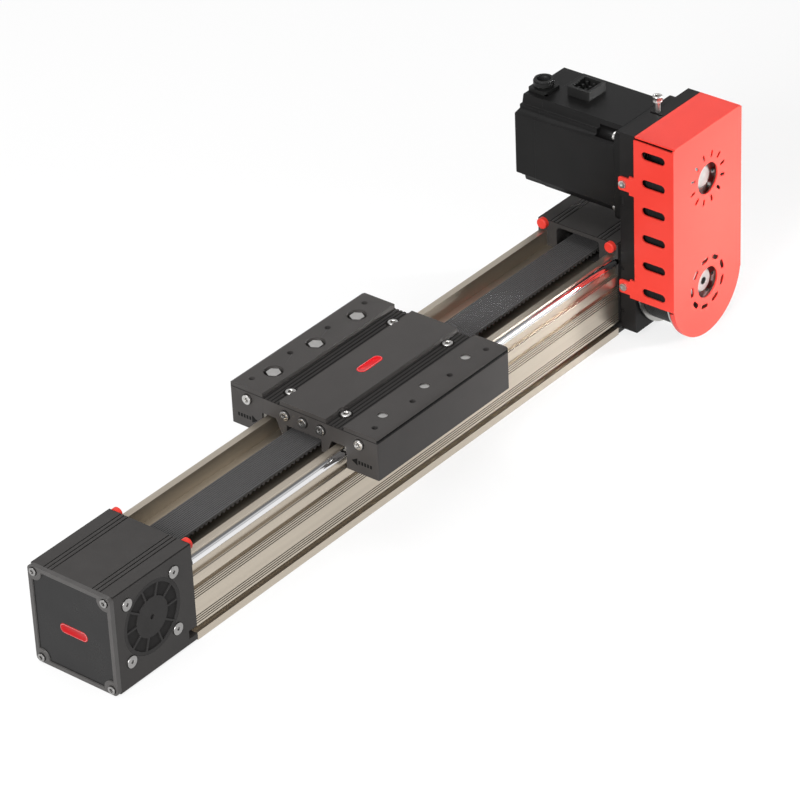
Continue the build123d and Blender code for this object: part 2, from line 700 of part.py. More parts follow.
def vent_slots(x, z, count, inner, outer, width, radial):
    """Ring of vent openings: short radial slots or longer arc slots."""
    slots = []
    for i in range(count):
        angle = 360 * (i + 0.5) / count
        length = outer - inner if radial else width
        height = width if radial else outer - inner
        slot = Pos((inner + outer) / 2, 0) * Rot(0, 0, 0 if radial else 90) * SlotOverall(length, height)
        slots.append(Pos(x, z) * Rot(0, 0, angle) * slot)
    return slots


def belt_cover():
    """Folded sheet cover with slotted walls, a top flap and two round vents."""
    x0, x1 = AXIS_X - COVER_HALF, AXIS_X + COVER_HALF
    front_in = -COVER_FRONT + COVER_SHEET
    front = rect(x0, x1, AXIS_Z, COVER_TOP - COVER_SHEET) + disc(AXIS_X, AXIS_Z, COVER_HALF)
    front -= disc(AXIS_X, AXIS_Z, EYE_RADIUS) + disc(AXIS_X, MOTOR_Z, EYE_RADIUS)
    for slot in vent_slots(AXIS_X, MOTOR_Z, 12, 17.6, 24.3, 2.6, True):
        front -= slot
    for slot in vent_slots(AXIS_X, AXIS_Z, 9, 19.4, 23.4, 9.5, False):
        front -= slot
    cover = along_y(front, -COVER_FRONT, front_in)
    lip = disc(AXIS_X, AXIS_Z, COVER_HALF) - disc(AXIS_X, AXIS_Z, COVER_HALF - COVER_SHEET)
    lip -= rect(x0, x1, COVER_WALL_END - 2.2, COVER_TOP)
    cover += along_y(lip, -COVER_FRONT, -COVER_FRONT + COVER_LIP)
    for side in (-1, 1):
        outer = AXIS_X + side * COVER_HALF
        inner = outer - side * COVER_SHEET
        wall = along_x(rect(-COVER_FRONT, -COVER_BACK, COVER_WALL_END, COVER_TOP - COVER_SHEET - 1.2),
                       *sorted((inner, outer)))
        for i in range(COVER_SLOT_COUNT):
            slot = Pos(COVER_SLOT_Y, COVER_SLOT_TOP - i * COVER_SLOT_PITCH) * SlotOverall(
                COVER_SLOT_LENGTH, COVER_SLOT_WIDTH)
            wall -= along_x(slot, *sorted((inner, outer)))
        for z in TAB_ZS:
            tab = rect(-COVER_BACK, TAB_Y + 4.5, z - TAB_HEIGHT / 2, z + TAB_HEIGHT / 2)
            tab = fillet(tab.vertices().group_by(Axis.X)[-1], 2.0)
            tab -= disc(TAB_Y, z, 2.1)
            reach = TAB_HEIGHT / 2 + TAB_SHOULDER
            root = rect(-COVER_BACK - 0.5, -COVER_BACK + TAB_ROOT, z - reach, z + reach)
            wall += along_x(tab + root, *sorted((inner, outer)))
        cover += wall
    flap = rect(x0 + COVER_SHEET + 0.3, x1 - COVER_SHEET - 0.3, -COVER_FRONT, -COVER_BACK)
    cover += along_z(flap, COVER_TOP - COVER_SHEET, COVER_TOP)
    return cover


def cover_tab_screws():
    """Small screws that hold the cover's tabs to the plate's edges."""
    screw = cap_screw(4.0, 8.0)
    return [
        seated(screw, (AXIS_X + side * COVER_HALF, TAB_Y, z), (side, 0, 0))
        for side in (-1, 1) for z in TAB_ZS
    ]


def tension_screw():
    """Belt tension screw standing in the plate's top."""
    return seated(cap_screw(5.0, 17.0), (AXIS_X, TENSION_Y, TENSION_HEAD_Z), (0, 0, 1))


def motor_face(half, flat, notch):
    """Motor outline: a square whose corners step in towards its screws."""
    quarter = [(half, flat), (notch, flat + 1.6), (notch, notch), (flat + 1.6, notch), (flat, half)]
    points = []
    for sx, sy, flip in ((1, 1, False), (-1, 1, True), (-1, -1, False), (1, -1, True)):
        corner = [(sx * x, sy * y) for x, y in quarter]
        points += corner[::-1] if flip else corner
    return outline(points)


def motor_flange():
    """Square front flange with its pilot ring and four holes."""
    face = Pos(AXIS_X, MOTOR_Z) * RectangleRounded(2 * MOTOR_HALF, 2 * MOTOR_HALF, 5.0)
    flange = along_y(face, PLATE_BACK, PLATE_BACK + MOTOR_FLANGE)
    pilot = disc(AXIS_X, MOTOR_Z, MOTOR_PILOT_RADIUS - 0.02)
    flange += along_y(pilot, PLATE_BACK - MOTOR_PILOT, PLATE_BACK)
    bore = disc(AXIS_X, MOTOR_Z, MOTOR_SHAFT_RADIUS + RUNNING_FIT)
    flange -= along_y(bore, PLATE_BACK - MOTOR_PILOT, PLATE_BACK + MOTOR_FLANGE - 2.0)
    for dx in (-MOTOR_SCREW_HALF, MOTOR_SCREW_HALF):
        for dz in (-MOTOR_SCREW_HALF, MOTOR_SCREW_HALF):
            hole = disc(AXIS_X + dx, MOTOR_Z + dz, 3.0)
            flange -= along_y(hole, PLATE_BACK, PLATE_BACK + MOTOR_FLANGE)
    return flange


def motor_screws():
    """Four screws through the motor flange into the plate."""
    screw = cap_screw(5.2, MOTOR_FLANGE + 8.0)
    y = PLATE_BACK + MOTOR_FLANGE
    return [
        seated(screw, (AXIS_X + dx, y, MOTOR_Z + dz), (0, 1, 0))
        for dx in (-MOTOR_SCREW_HALF, MOTOR_SCREW_HALF)
        for dz in (-MOTOR_SCREW_HALF, MOTOR_SCREW_HALF)
    ]


def motor_body():
    """Stator housing with stepped corners, cut back at the flange for the screw heads."""
    face = Pos(AXIS_X, MOTOR_Z) * motor_face(MOTOR_HALF, MOTOR_FLAT, MOTOR_NOTCH)
    front = PLATE_BACK + MOTOR_FLANGE
    body = along_y(face, front, MOTOR_BODY_END)
    for dx in (-MOTOR_SCREW_HALF, MOTOR_SCREW_HALF):
        for dz in (-MOTOR_SCREW_HALF, MOTOR_SCREW_HALF):
            body -= along_y(disc(AXIS_X + dx, MOTOR_Z + dz, 5.4), front, front + 22.0)
    return body


def motor_end_cap():
    """Rear cap of the motor over its encoder."""
    face = Pos(AXIS_X, MOTOR_Z) * motor_face(MOTOR_HALF - 0.4, MOTOR_FLAT, MOTOR_NOTCH - 0.4)
    cap = along_y(face, MOTOR_BODY_END, MOTOR_END)
    rear = cap.edges().group_by(Axis.Y)[-1]
    cap = chamfer(rear, 1.5)
    for x, z in cap_screw_points():
        cap -= counterbore((x, MOTOR_END - 3.4, z), (0, 1, 0), 3.0, 4.0)
        cap -= screw_hole((x, MOTOR_END - 3.4, z), (0, 1, 0), 3.0, 10.0)
    return cap


def cap_screw_points():
    """(X, Z) of the four small screws in the motor's rear cap."""
    reach = MOTOR_NOTCH - 6.0
    return [(AXIS_X + sx * reach, MOTOR_Z + sz * reach) for sx in (-1, 1) for sz in (-1, 1)]


def motor_cap_screws():
    """Four small screws in the motor's rear cap."""
    screw = cap_screw(3.0, 9.0)
    return [seated(screw, (x, MOTOR_END - 3.4, z), (0, 1, 0)) for x, z in cap_screw_points()]


def motor_round_connector():
    """Round threaded connector on top of the rear cap."""
    top = MOTOR_Z + MOTOR_HALF - 0.4
    x, y = AXIS_X - 12.0, 56.5
    base = along_z(Pos(x, y) * RectangleRounded(19.0, 19.0, 2.0), top, top + 3.0)
    barrel = along_z(disc(x, y, 8.0), top + 3.0, top + 10.0)
    barrel += along_z(disc(x, y, 8.8), top + 5.0, top + 8.4)
    return base + barrel - along_z(disc(x, y, 5.8), top + 4.5, top + 10.0)


def motor_square_socket():
    """Rectangular pin socket on top of the motor body."""
    top = MOTOR_Z + MOTOR_HALF
    x, y = AXIS_X + 2.0, 24.0
    block = along_z(Pos(x, y) * RectangleRounded(24.0, 22.0, 1.5), top, top + 8.0)
    block -= along_z(Pos(x, y) * Rectangle(18.0, 16.0), top + 1.5, top + 8.0)
    for i in range(3):
        for j in range(2):
            pin = disc(x - 5.6 + 5.6 * i, y - 3.5 + 7.0 * j, 1.2)
            block += along_z(pin, top + 1.5, top + 6.5)
    return block


def carriage_span():
    """X of the carriage's two end faces at rest."""
    return CARRIAGE_X - CARRIAGE_LENGTH / 2, CARRIAGE_X + CARRIAGE_LENGTH / 2


def carriage_centre():
    """Middle plate with two legs in the belt channel and a ribbed groove each side."""
    half = [
        (CENTRE_HALF, CENTRE_UNDERSIDE),
        (LEG_TOP_OUTER, CENTRE_UNDERSIDE),
        (LEG_FOOT_OUTER, LEG_FOOT),
        (LEG_INNER, LEG_FOOT),
        (LEG_INNER, BELT_SLOT_TOP),
    ]
    top = [(GROOVE_INNER, GROOVE_FLOOR), (GROOVE_INNER, CARRIAGE_TOP)]
    right = [(CENTRE_HALF, GROOVE_FLOOR)] + top
    section = outline(half[::-1] + right + [(-y, z) for y, z in reversed(right)]
                      + [(-y, z) for y, z in half])
    floor = CENTRE_HALF - GROOVE_INNER
    for side in (-1, 1):
        for i in range(GROOVE_RIBS):
            y = side * (GROOVE_INNER + floor * (i + 0.5) / GROOVE_RIBS)
            section -= rect(y - 0.8, y + 0.8, GROOVE_FLOOR - 0.6, GROOVE_FLOOR)
    x0, x1 = carriage_span()
    body = along_x(section, x0, x1)
    for side in (-1, 1):
        pocket = rect(x0 + END_WALL, x1 - END_WALL, *sorted((side * JOIN_INNER, side * CENTRE_HALF)))
        body -= along_z(pocket, CENTRE_UNDERSIDE, JOIN_TOP)
        for dx in (-CHANNEL_SCREW_X, CHANNEL_SCREW_X):
            seat = (CARRIAGE_X + dx, side * CHANNEL_SCREW_Y, GROOVE_FLOOR - 4.2)
            body -= counterbore(seat, (0, 0, 1), 6.6, 8.0)
            body -= screw_hole(seat, (0, 0, 1), 5.4, 6.0)
    for end, x in ((-1, x0), (1, x1)):
        room = clamp_room(end)
        body -= along_z(rect(*room, -LEG_INNER - 4.0, LEG_INNER + 4.0), BELT_SLOT_TOP - 0.5, 87.0)
        for y in clamp_screw_rows():
            seat = (x - end * 2.6, y, CLAMP_SCREW_Z)
            body -= counterbore(seat, (end, 0, 0), 5.0, 4.0)
            body -= screw_hole(seat, (end, 0, 0), 5.0, 12.0)
    pocket = along_z(Pos(CARRIAGE_X, 0) * SlotOverall(BADGE_LENGTH, BADGE_WIDTH),
                     CARRIAGE_TOP - BADGE_DEPTH, CARRIAGE_TOP)
    return body - pocket


def clamp_room(end):
    """Sorted X planes of the pocket that holds a belt clamp, at either end."""
    x = carriage_span()[0 if end < 0 else 1]
    return sorted((x - end * 9.0, x - end * 41.0))


def clamp_screw_rows():
    """Y of the three clamp screws in an end face."""
    return (-CLAMP_SCREW_Y, 0.0, CLAMP_SCREW_Y)


def belt_clamp(end):
    """Block that grips the belt's top run, hung in the middle plate's pocket."""
    x0, x1 = clamp_room(end)
    x0, x1 = x0 + SEAT_GAP, x1 - SEAT_GAP
    head = along_x(rect(-LEG_INNER - 3.8, LEG_INNER + 3.8, BELT_SLOT_TOP - 0.4, 86.8), x0, x1)
    jaw = along_x(rect(-LEG_INNER + 0.2, LEG_INNER - 0.2, LEG_FOOT, BELT_SLOT_TOP), x0, x1)
    low = AXIS_Z + MAIN_RADIUS - MAIN_LINE - MAIN_TOOTH - CLAMP_FIT
    high = AXIS_Z + MAIN_RADIUS + MAIN_BACK + CLAMP_FIT
    block = head + jaw - along_x(rect(-MAIN_WIDTH / 2 - 0.3, MAIN_WIDTH / 2 + 0.3, low, high), x0, x1)
    for y in clamp_screw_rows():
        face = x0 if end < 0 else x1
        block -= screw_hole((face, y, CLAMP_SCREW_Z), (end, 0, 0), 5.0, 12.0)
    return block


def clamp_screws():
    """Three screws in each end face that pull the belt clamps tight."""
    screw = cap_screw(5.0, 16.0)
    x0, x1 = carriage_span()
    return [
        seated(screw, (x - end * 2.6, y, CLAMP_SCREW_Z), (end, 0, 0))
        for end, x in ((-1, x0), (1, x1)) for y in clamp_screw_rows()
    ]


def channel_screws():
    """Four screws that hold the middle plate down on the side blocks."""
    screw = cap_screw(5.2, 10.0)
    return [
        seated(screw, (CARRIAGE_X + dx, side * CHANNEL_SCREW_Y, GROOVE_FLOOR - 4.2), (0, 0, 1))
        for dx in (-CHANNEL_SCREW_X, CHANNEL_SCREW_X) for side in (-1, 1)
    ]


def roller_xs():
    """X of the three rollers of one side at rest."""
    return [CARRIAGE_X + i * ROLLER_PITCH for i in (-1, 0, 1)]


def side_block(side):
    """Side block: a roof over three rollers, an outer wall and two end walls."""
    x0, x1 = carriage_span()
    section = outline([
        (CENTRE_HALF, SIDE_BOTTOM),
        (CARRIAGE_HALF, SIDE_BOTTOM),
        (CARRIAGE_HALF, CARRIAGE_TOP - BEVEL_DROP),
        (CARRIAGE_HALF - BEVEL_RUN, CARRIAGE_TOP),
        (CENTRE_HALF, CARRIAGE_TOP),
    ])
    body = along_x(section, x0, x1)
    body = chamfer(body.edges().filter_by(Axis.Z).group_by(Axis.Y)[-1], 0.8)
    room = rect(x0 + END_WALL, x1 - END_WALL, CENTRE_HALF, CARRIAGE_HALF - SIDE_WALL)
    body -= along_z(room, SIDE_BOTTOM, SIDE_ROOF)
    body -= along_x(rect(CENTRE_HALF, SIDE_INNER, SIDE_BOTTOM, CENTRE_UNDERSIDE), x0, x1)
    body -= along_x(disc(ROD_Y, ROD_Z, ROD_RADIUS + 0.8), x0, x1)
    ledge = rect(x0 + END_WALL + 0.1, x1 - END_WALL - 0.1, JOIN_INNER + 0.1, CENTRE_HALF)
    body += along_z(ledge, CENTRE_UNDERSIDE, JOIN_TOP)
    seam_top = CARRIAGE_TOP - BEVEL_DROP - SEAM_BELOW
    seam = rect(CARRIAGE_HALF - SEAM_DEPTH, CARRIAGE_HALF, seam_top - SEAM_HEIGHT, seam_top)
    body -= along_x(seam, x0, x1)
    for i in (-1.5, -0.5, 0.5, 1.5):
        spot = disc(CARRIAGE_X + i * TAPPED_PITCH, TAPPED_Y, TAPPED_RADIUS)
        body -= along_z(spot, SIDE_ROOF, CARRIAGE_TOP)
    for x in roller_xs():
        body -= along_z(disc(x, ROLLER_Y, ROLLER_PIN_RADIUS + 0.02), SIDE_ROOF, CARRIAGE_TOP)
        if side > 0:
            body -= along_z(disc(x, ROLLER_Y, 8.0), CARRIAGE_TOP - 6.0, CARRIAGE_TOP)
    for dx in (-CHANNEL_SCREW_X, CHANNEL_SCREW_X):
        body -= along_z(disc(CARRIAGE_X + dx, CHANNEL_SCREW_Y, 2.6), CENTRE_UNDERSIDE, JOIN_TOP)
    for end, x in ((-1, x0), (1, x1)):
        seat = (x - end * 2.6, PLUG_Y, PLUG_Z)
        body -= counterbore(seat, (end, 0, 0), 5.0, 4.0)
        body -= screw_hole(seat, (end, 0, 0), 5.0, 9.0)
        body -= wiper_room(end)
    return body if side > 0 else mirrored_y(body)


def wiper_room(end):
    """Pocket in an end wall for the rod wiper, on the +Y side."""
    x = carriage_span()[0 if end < 0 else 1]
    span = sorted((x - end * 2.0, x - end * (END_WALL - 1.0)))
    return along_x(rect(CENTRE_HALF - 1, SIDE_INNER + 5.0, ROD_Z - 6.0, ROD_Z + 6.0), *span)


def rod_wipers():
    """Four oil-fed wipers that lie against the guide rods in the end walls."""
    made = []
    for end in (-1, 1):
        x = carriage_span()[0 if end < 0 else 1]
        span = sorted((x - end * 2.1, x - end * (END_WALL - 1.1)))
        pad = along_x(rect(38.4, SIDE_INNER + 4.9, ROD_Z - 5.9, ROD_Z + 5.9), *span)
        pad -= along_x(disc(ROD_Y, ROD_Z, ROD_RADIUS + 0.15), *span)
        pieces = pad.solids().sort_by(Axis.Y)
        made += [pieces[-1], mirrored_y(pieces[-1])]
    return made


def plug_screws():
    """Oil filler plugs in the four end faces of the side blocks."""
    screw = cap_screw(5.0, 8.0)
    x0, x1 = carriage_span()
    return [
        seated(screw, (x - end * 2.6, side * PLUG_Y, PLUG_Z), (end, 0, 0))
        for end, x in ((-1, x0), (1, x1)) for side in (-1, 1)
    ]


def roller(x, side):
    """Grooved roller whose groove wraps the guide rod, turning on a vertical pin."""
    half = ROLLER_HEIGHT / 2
    reach = ROLLER_Y - ROD_Y
    bore = ROLLER_PIN_RADIUS + RUNNING_FIT
    section = rect(bore, ROLLER_RADIUS, -half, half)
    section -= disc(reach, 0, ROD_RADIUS + ROD_CONTACT_GAP)
    section -= rect(7.0, 9.6, half - 0.7, half)
    section -= rect(7.0, 9.6, -half, -half + 0.7)
    wheel = revolve(Plane.XZ * section, Axis.Z)
    return Pos(x, side * ROLLER_Y, ROD_Z) * wheel


def roller_stack(x, side):
    """Pin of one roller with its shoulder above and its retaining head below."""
    low = ROD_Z - ROLLER_HEIGHT / 2
    high = ROD_Z + ROLLER_HEIGHT / 2
    top = CARRIAGE_TOP - 6.0 if side > 0 else CARRIAGE_TOP - 1.0
    y = side * ROLLER_Y
    pin = along_z(disc(x, y, ROLLER_PIN_RADIUS), low - 0.3, top)
    pin += along_z(disc(x, y, 6.4), high + 0.3, SIDE_ROOF)
    pin += along_z(disc(x, y, 6.0), low - 4.0, low - 0.3)
    if side > 0:
        hexagon = Pos(x, y) * RegularPolygon(6.0, 6)
        pin += along_z(hexagon, CARRIAGE_TOP - 6.0, CARRIAGE_TOP - 1.0)
    return pin


def build():
    """Write every piece of the actuator."""
    write("rail_profile", rail_profile())
    write("guide_rods", guide_rod(1), guide_rod(-1))
    write("idler_housing", housing(-1))
    write("idler_end_cover", end_cover(-1))
    write("idler_cover_screws", *cover_screws(-1))
    write("idler_cap_left", bearing_cap(-1, 1))
    write("idler_cap_right", bearing_cap(-1, -1))
    write("idler_side_screws", *side_screws(-1, (-1, 1)))
    write("idler_bearings", bearing(-1, -1), bearing(-1, 1))
    write("idler_pulley", main_pulley(-1))
    write("idler_shaft", idler_shaft())
    write("housing_tie_bolts", *tie_bolts())
    write("upper_tie_bolts", *upper_tie_bolts())
    write("end_bumpers", *bumpers())
    write("drive_housing", drive_housing())
    write("drive_end_cover", end_cover(1))
    write("drive_cover_screws", *cover_screws(1))
    write("drive_cap_left", bearing_cap(1, 1))
    write("drive_side_screws", *side_screws(1, (1,)))
    write("drive_bearings", bearing(1, -1), bearing(1, 1))
    write("drive_pulley", main_pulley(1))
    write("drive_shaft", drive_shaft())
    write("main_belt", main_belt())
    write("belt_case_plate", belt_case_plate())
    write("plate_screws", *plate_screws())
    write("belt_cover", belt_cover())
    write("belt_cover_screws", *cover_tab_screws())
    write("tension_screw", tension_screw())
    write("reduction_belt", reduction_belt())
    write("shaft_belt_pulley", reduction_pulley(AXIS_Z, SHAFT_RADIUS))
    write("shaft_clamp_ring", clamp_ring(AXIS_Z, SHAFT_RADIUS))
    write("motor_belt_pulley", reduction_pulley(MOTOR_Z, MOTOR_SHAFT_RADIUS))
    write("motor_clamp_ring", clamp_ring(MOTOR_Z, MOTOR_SHAFT_RADIUS))
    write("motor_shaft", motor_shaft())
    write("motor_flange", motor_flange())
    write("motor_flange_screws", *motor_screws())
    write("motor_body", motor_body())
    write("motor_end_cap", motor_end_cap())
    write("motor_cap_screws", *motor_cap_screws())
    write("motor_round_connector", motor_round_connector())
    write("motor_square_socket", motor_square_socket())
    write("carriage_centre", carriage_centre())
    write("carriage_block_left", side_block(1))
    write("carriage_block_right", side_block(-1))
    write("carriage_channel_screws", *channel_screws())
    write("belt_clamps", belt_clamp(-1), belt_clamp(1))
    write("belt_clamp_screws", *clamp_screws())
    write("rod_wipers", *rod_wipers())
    write("oil_plug_screws", *plug_screws())
    top_badge, face_badge = badges()
    write("carriage_inlay", top_badge)
    write("end_cover_inlay", face_badge)
    places = ("rear", "middle", "front")
    for side, name in ((1, "left"), (-1, "right")):
        write(f"roller_pins_{name}", *[roller_stack(x, side) for x in roller_xs()])
        for x, place in zip(roller_xs(), places):
            write(f"roller_{name}_{place}", roller(x, side))


build()
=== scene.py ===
"""Visual model of a belt driven linear actuator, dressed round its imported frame."""

from __future__ import annotations

import json
import logging
import math
from dataclasses import dataclass
from enum import Enum
from typing import Any, Callable, Iterable, Sequence

import bmesh
import bpy
from mathutils import Euler, Matrix, Vector

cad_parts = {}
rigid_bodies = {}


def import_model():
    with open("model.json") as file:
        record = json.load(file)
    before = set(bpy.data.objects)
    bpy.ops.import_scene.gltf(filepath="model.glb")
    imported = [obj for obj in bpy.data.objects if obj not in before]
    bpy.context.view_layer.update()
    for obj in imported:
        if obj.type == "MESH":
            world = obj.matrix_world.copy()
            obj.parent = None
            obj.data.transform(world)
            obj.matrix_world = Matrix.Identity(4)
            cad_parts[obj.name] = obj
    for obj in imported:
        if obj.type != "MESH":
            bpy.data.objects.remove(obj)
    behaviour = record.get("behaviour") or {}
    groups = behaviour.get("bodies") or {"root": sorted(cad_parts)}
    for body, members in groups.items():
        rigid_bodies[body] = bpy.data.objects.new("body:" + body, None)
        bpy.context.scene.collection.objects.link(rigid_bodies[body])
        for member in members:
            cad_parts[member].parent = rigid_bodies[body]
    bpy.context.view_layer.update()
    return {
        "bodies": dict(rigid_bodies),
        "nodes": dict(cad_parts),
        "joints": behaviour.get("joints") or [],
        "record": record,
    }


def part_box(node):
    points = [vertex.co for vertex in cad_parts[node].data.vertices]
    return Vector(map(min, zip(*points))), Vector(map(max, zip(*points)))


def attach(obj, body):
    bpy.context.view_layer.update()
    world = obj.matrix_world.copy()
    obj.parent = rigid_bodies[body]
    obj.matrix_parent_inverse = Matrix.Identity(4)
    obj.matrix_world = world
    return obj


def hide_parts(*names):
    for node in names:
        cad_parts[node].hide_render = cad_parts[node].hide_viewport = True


LOG = logging.getLogger("linear_actuator")
MM = 0.001
MERGE_DISTANCE = 2e-6
FLAT_DEGREES = 0.6
WELD_DISTANCE = 1e-7
# Colour of the painted shade laid into groove floors and seams.
GROOVE_SHADE_TONE = (0.002, 0.002, 0.002, 1.0)
OBJECT_PLACE = 3
COLOUR_A, COLOUR_B, MIXED_COLOUR = 6, 7, 2
CAMERA_RAY, GLOSSY_RAY, TRANSMISSION_RAY = 0, 3, 6
Point = tuple[float, float, float]


class Value:
    """A number socket of a shader that can be used in Python expressions."""

    def __init__(self, graph: "ShaderGraph", socket: bpy.types.NodeSocket) -> None:
        """Wraps a socket.

        Args:
            graph: The shader that the socket belongs to.
            socket: The output socket.
        """
        self.graph = graph
        self.socket = socket

    def _maths(self, operation: str, first: Any, second: Any) -> "Value":
        """Adds one Math node.

        Args:
            operation: The Math node's operation.
            first: Its first value.
            second: Its second value.

        Returns:
            The node's result.
        """
        return self.graph.add("ShaderNodeMath", {"operation": operation}, {0: first, 1: second})[0]

    def __add__(self, other: Any) -> "Value":
        """Sum."""
        return self._maths("ADD", self, other)

    __radd__ = __add__

    def __mul__(self, other: Any) -> "Value":
        """Product."""
        return self._maths("MULTIPLY", self, other)

    __rmul__ = __mul__

    def __sub__(self, other: Any) -> "Value":
        """Difference."""
        return self._maths("SUBTRACT", self, other)

    def __rsub__(self, other: Any) -> "Value":
        """Reflected difference."""
        return self._maths("SUBTRACT", other, self)


class ShaderGraph:
    """Builds the node tree of one material or of the world."""

    def __init__(self, tree: bpy.types.NodeTree) -> None:
        """Empties a node tree.

        Args:
            tree: The tree to build in.
        """
        self.tree = tree
        tree.nodes.clear()

    def add(self, kind: str, settings: dict[str, Any], values: dict[Any, Any]) -> list[Value]:
        """Adds a node, sets its properties and then its inputs.

        Args:
            kind: The node's type.
            settings: Properties, or "stops" for a colour ramp.
            values: Inputs by name or index, each a number, a vector or a Value.

        Returns:
            The node's outputs, by index.
        """
        node = self.tree.nodes.new(kind)
        for key, setting in settings.items():
            if key == "stops":
                elements = node.color_ramp.elements
                while len(elements) < len(setting):
                    elements.new(1.0)
                for element, (place, colour) in zip(elements, setting):
                    element.position, element.color = place, (*colour, 1.0)
            else:
                setattr(node, key, setting)
        for key, item in values.items():
            if isinstance(item, Value):
                self.tree.links.new(item.socket, node.inputs[key])
            else:
                node.inputs[key].default_value = item
        return [Value(self, socket) for socket in node.outputs]


@dataclass(frozen=True)
class PaintedGrooveShade:
    """Box, mirrored about the middle planes, in which painted shade darkens a finish where fine grooves
    and seams would be in shade.
    """

    low: dict[int, float]
    high: dict[int, float]
    # depth is the strength of the painted shade, from 0 to 1, not a groove's depth.
    depth: float = 0.8

    def mask(self, graph: ShaderGraph, axes: list[Value]) -> Value:
        """How much painted shade darkens the finish at a point.

        Args:
            graph: The shader.
            axes: The point's three coordinates.

        Returns:
            The share, from 0 to the depth.
        """
        share: Any = self.depth
        for axis, start in self.low.items():
            away = graph.add("ShaderNodeMath", {"operation": "ABSOLUTE"}, {0: axes[axis]})[0]
            above = graph.add("ShaderNodeMath", {"operation": "GREATER_THAN"}, {0: away, 1: start})[0]
            below = graph.add(
                "ShaderNodeMath", {"operation": "LESS_THAN"}, {0: away, 1: self.high[axis]}
            )[0]
            share = above * below * share
        return share


@dataclass(frozen=True)
class Surface:
    """One finish: two tones, their roughness and a fine relief, all from noise."""

    title: str
    low: Point
    high: Point
    metallic: float = 0.0
    smooth: float = 0.4
    coarse: float = 0.5
    stretch: Point = (40.0, 40.0, 40.0)
    relief: float = 0.00002
    relief_scale: float = 900.0
    coat: float = 0.0
    gloss: float = 0.5
    # Boxes of painted shade for groove floors and seams.
    painted_groove_shades: tuple[PaintedGrooveShade, ...] = ()
    groove_rough: float = 0.95
    tone_detail: float = 4.0
    grain_detail: float = 2.0
    grain_share: float = 0.3
    tone_height: float = 0.5
    bump_strength: float = 0.6
    coat_rough: float = 0.2

    def with_painted_groove_shade(
        self, graph: ShaderGraph, place: Value, colour: Value, rough: Value
    ) -> tuple[Value, Value]:
        """Paints shade into the bottom of the finish's fine grooves and dulls it.

        Args:
            graph: The shader.
            place: Object coordinates.
            colour: The colour so far.
            rough: The roughness so far.

        Returns:
            The colour and the roughness, with painted shade and dull grooves.
        """
        axes = graph.add("ShaderNodeSeparateXYZ", {}, {0: place})
        for groove_shade in self.painted_groove_shades:
            mask = groove_shade.mask(graph, axes)
            colour = graph.add(
                "ShaderNodeMix",
                {"data_type": "RGBA"},
                {0: mask, COLOUR_A: colour, COLOUR_B: GROOVE_SHADE_TONE},
            )[MIXED_COLOUR]
            rough = rough + mask * (self.groove_rough - rough)
        return colour, rough

    def material(self) -> bpy.types.Material:
        """The finish as a material, made once.

        Returns:
            The material.
        """
        known = bpy.data.materials.get(self.title)
        if known:
            return known
        material = bpy.data.materials.new(self.title)
        material.use_nodes = True
        graph = ShaderGraph(material.node_tree)
        place = graph.add("ShaderNodeTexCoord", {}, {})[OBJECT_PLACE]
        mapped = graph.add("ShaderNodeMapping", {}, {"Vector": place, "Scale": self.stretch})[0]
        tone = graph.add(
            "ShaderNodeTexNoise", {}, {"Vector": mapped, "Scale": 1.0, "Detail": self.tone_detail}
        )[0]
        grain = graph.add(
            "ShaderNodeTexNoise",
            {},
            {"Vector": place, "Scale": self.relief_scale, "Detail": self.grain_detail},
        )[0]
        colour = graph.add(
            "ShaderNodeMix",
            {"data_type": "RGBA"},
            {0: tone, COLOUR_A: (*self.low, 1.0), COLOUR_B: (*self.high, 1.0)},
        )[MIXED_COLOUR]
        blend = tone * (1.0 - self.grain_share) + grain * self.grain_share
        rough = self.smooth + (self.coarse - self.smooth) * blend
        # Painted shade in the fine grooves, where boxes of it are given.
        if self.painted_groove_shades:
            colour, rough = self.with_painted_groove_shade(graph, place, colour, rough)
        normal = graph.add(
            "ShaderNodeBump",
            {},
            {"Strength": self.bump_strength, "Distance": self.relief,
             "Height": tone * self.tone_height + grain},
        )[0]
        shader = graph.add(
            "ShaderNodeBsdfPrincipled",
            {},
            {"Base Color": colour, "Roughness": rough, "Metallic": self.metallic,
             "Normal": normal, "Coat Weight": self.coat, "Coat Roughness": self.coat_rough,
             "Specular IOR Level": self.gloss},
        )[0]
        graph.add("ShaderNodeOutputMaterial", {}, {"Surface": shader})
        material.diffuse_color = (*self.high, 1.0)
        return material


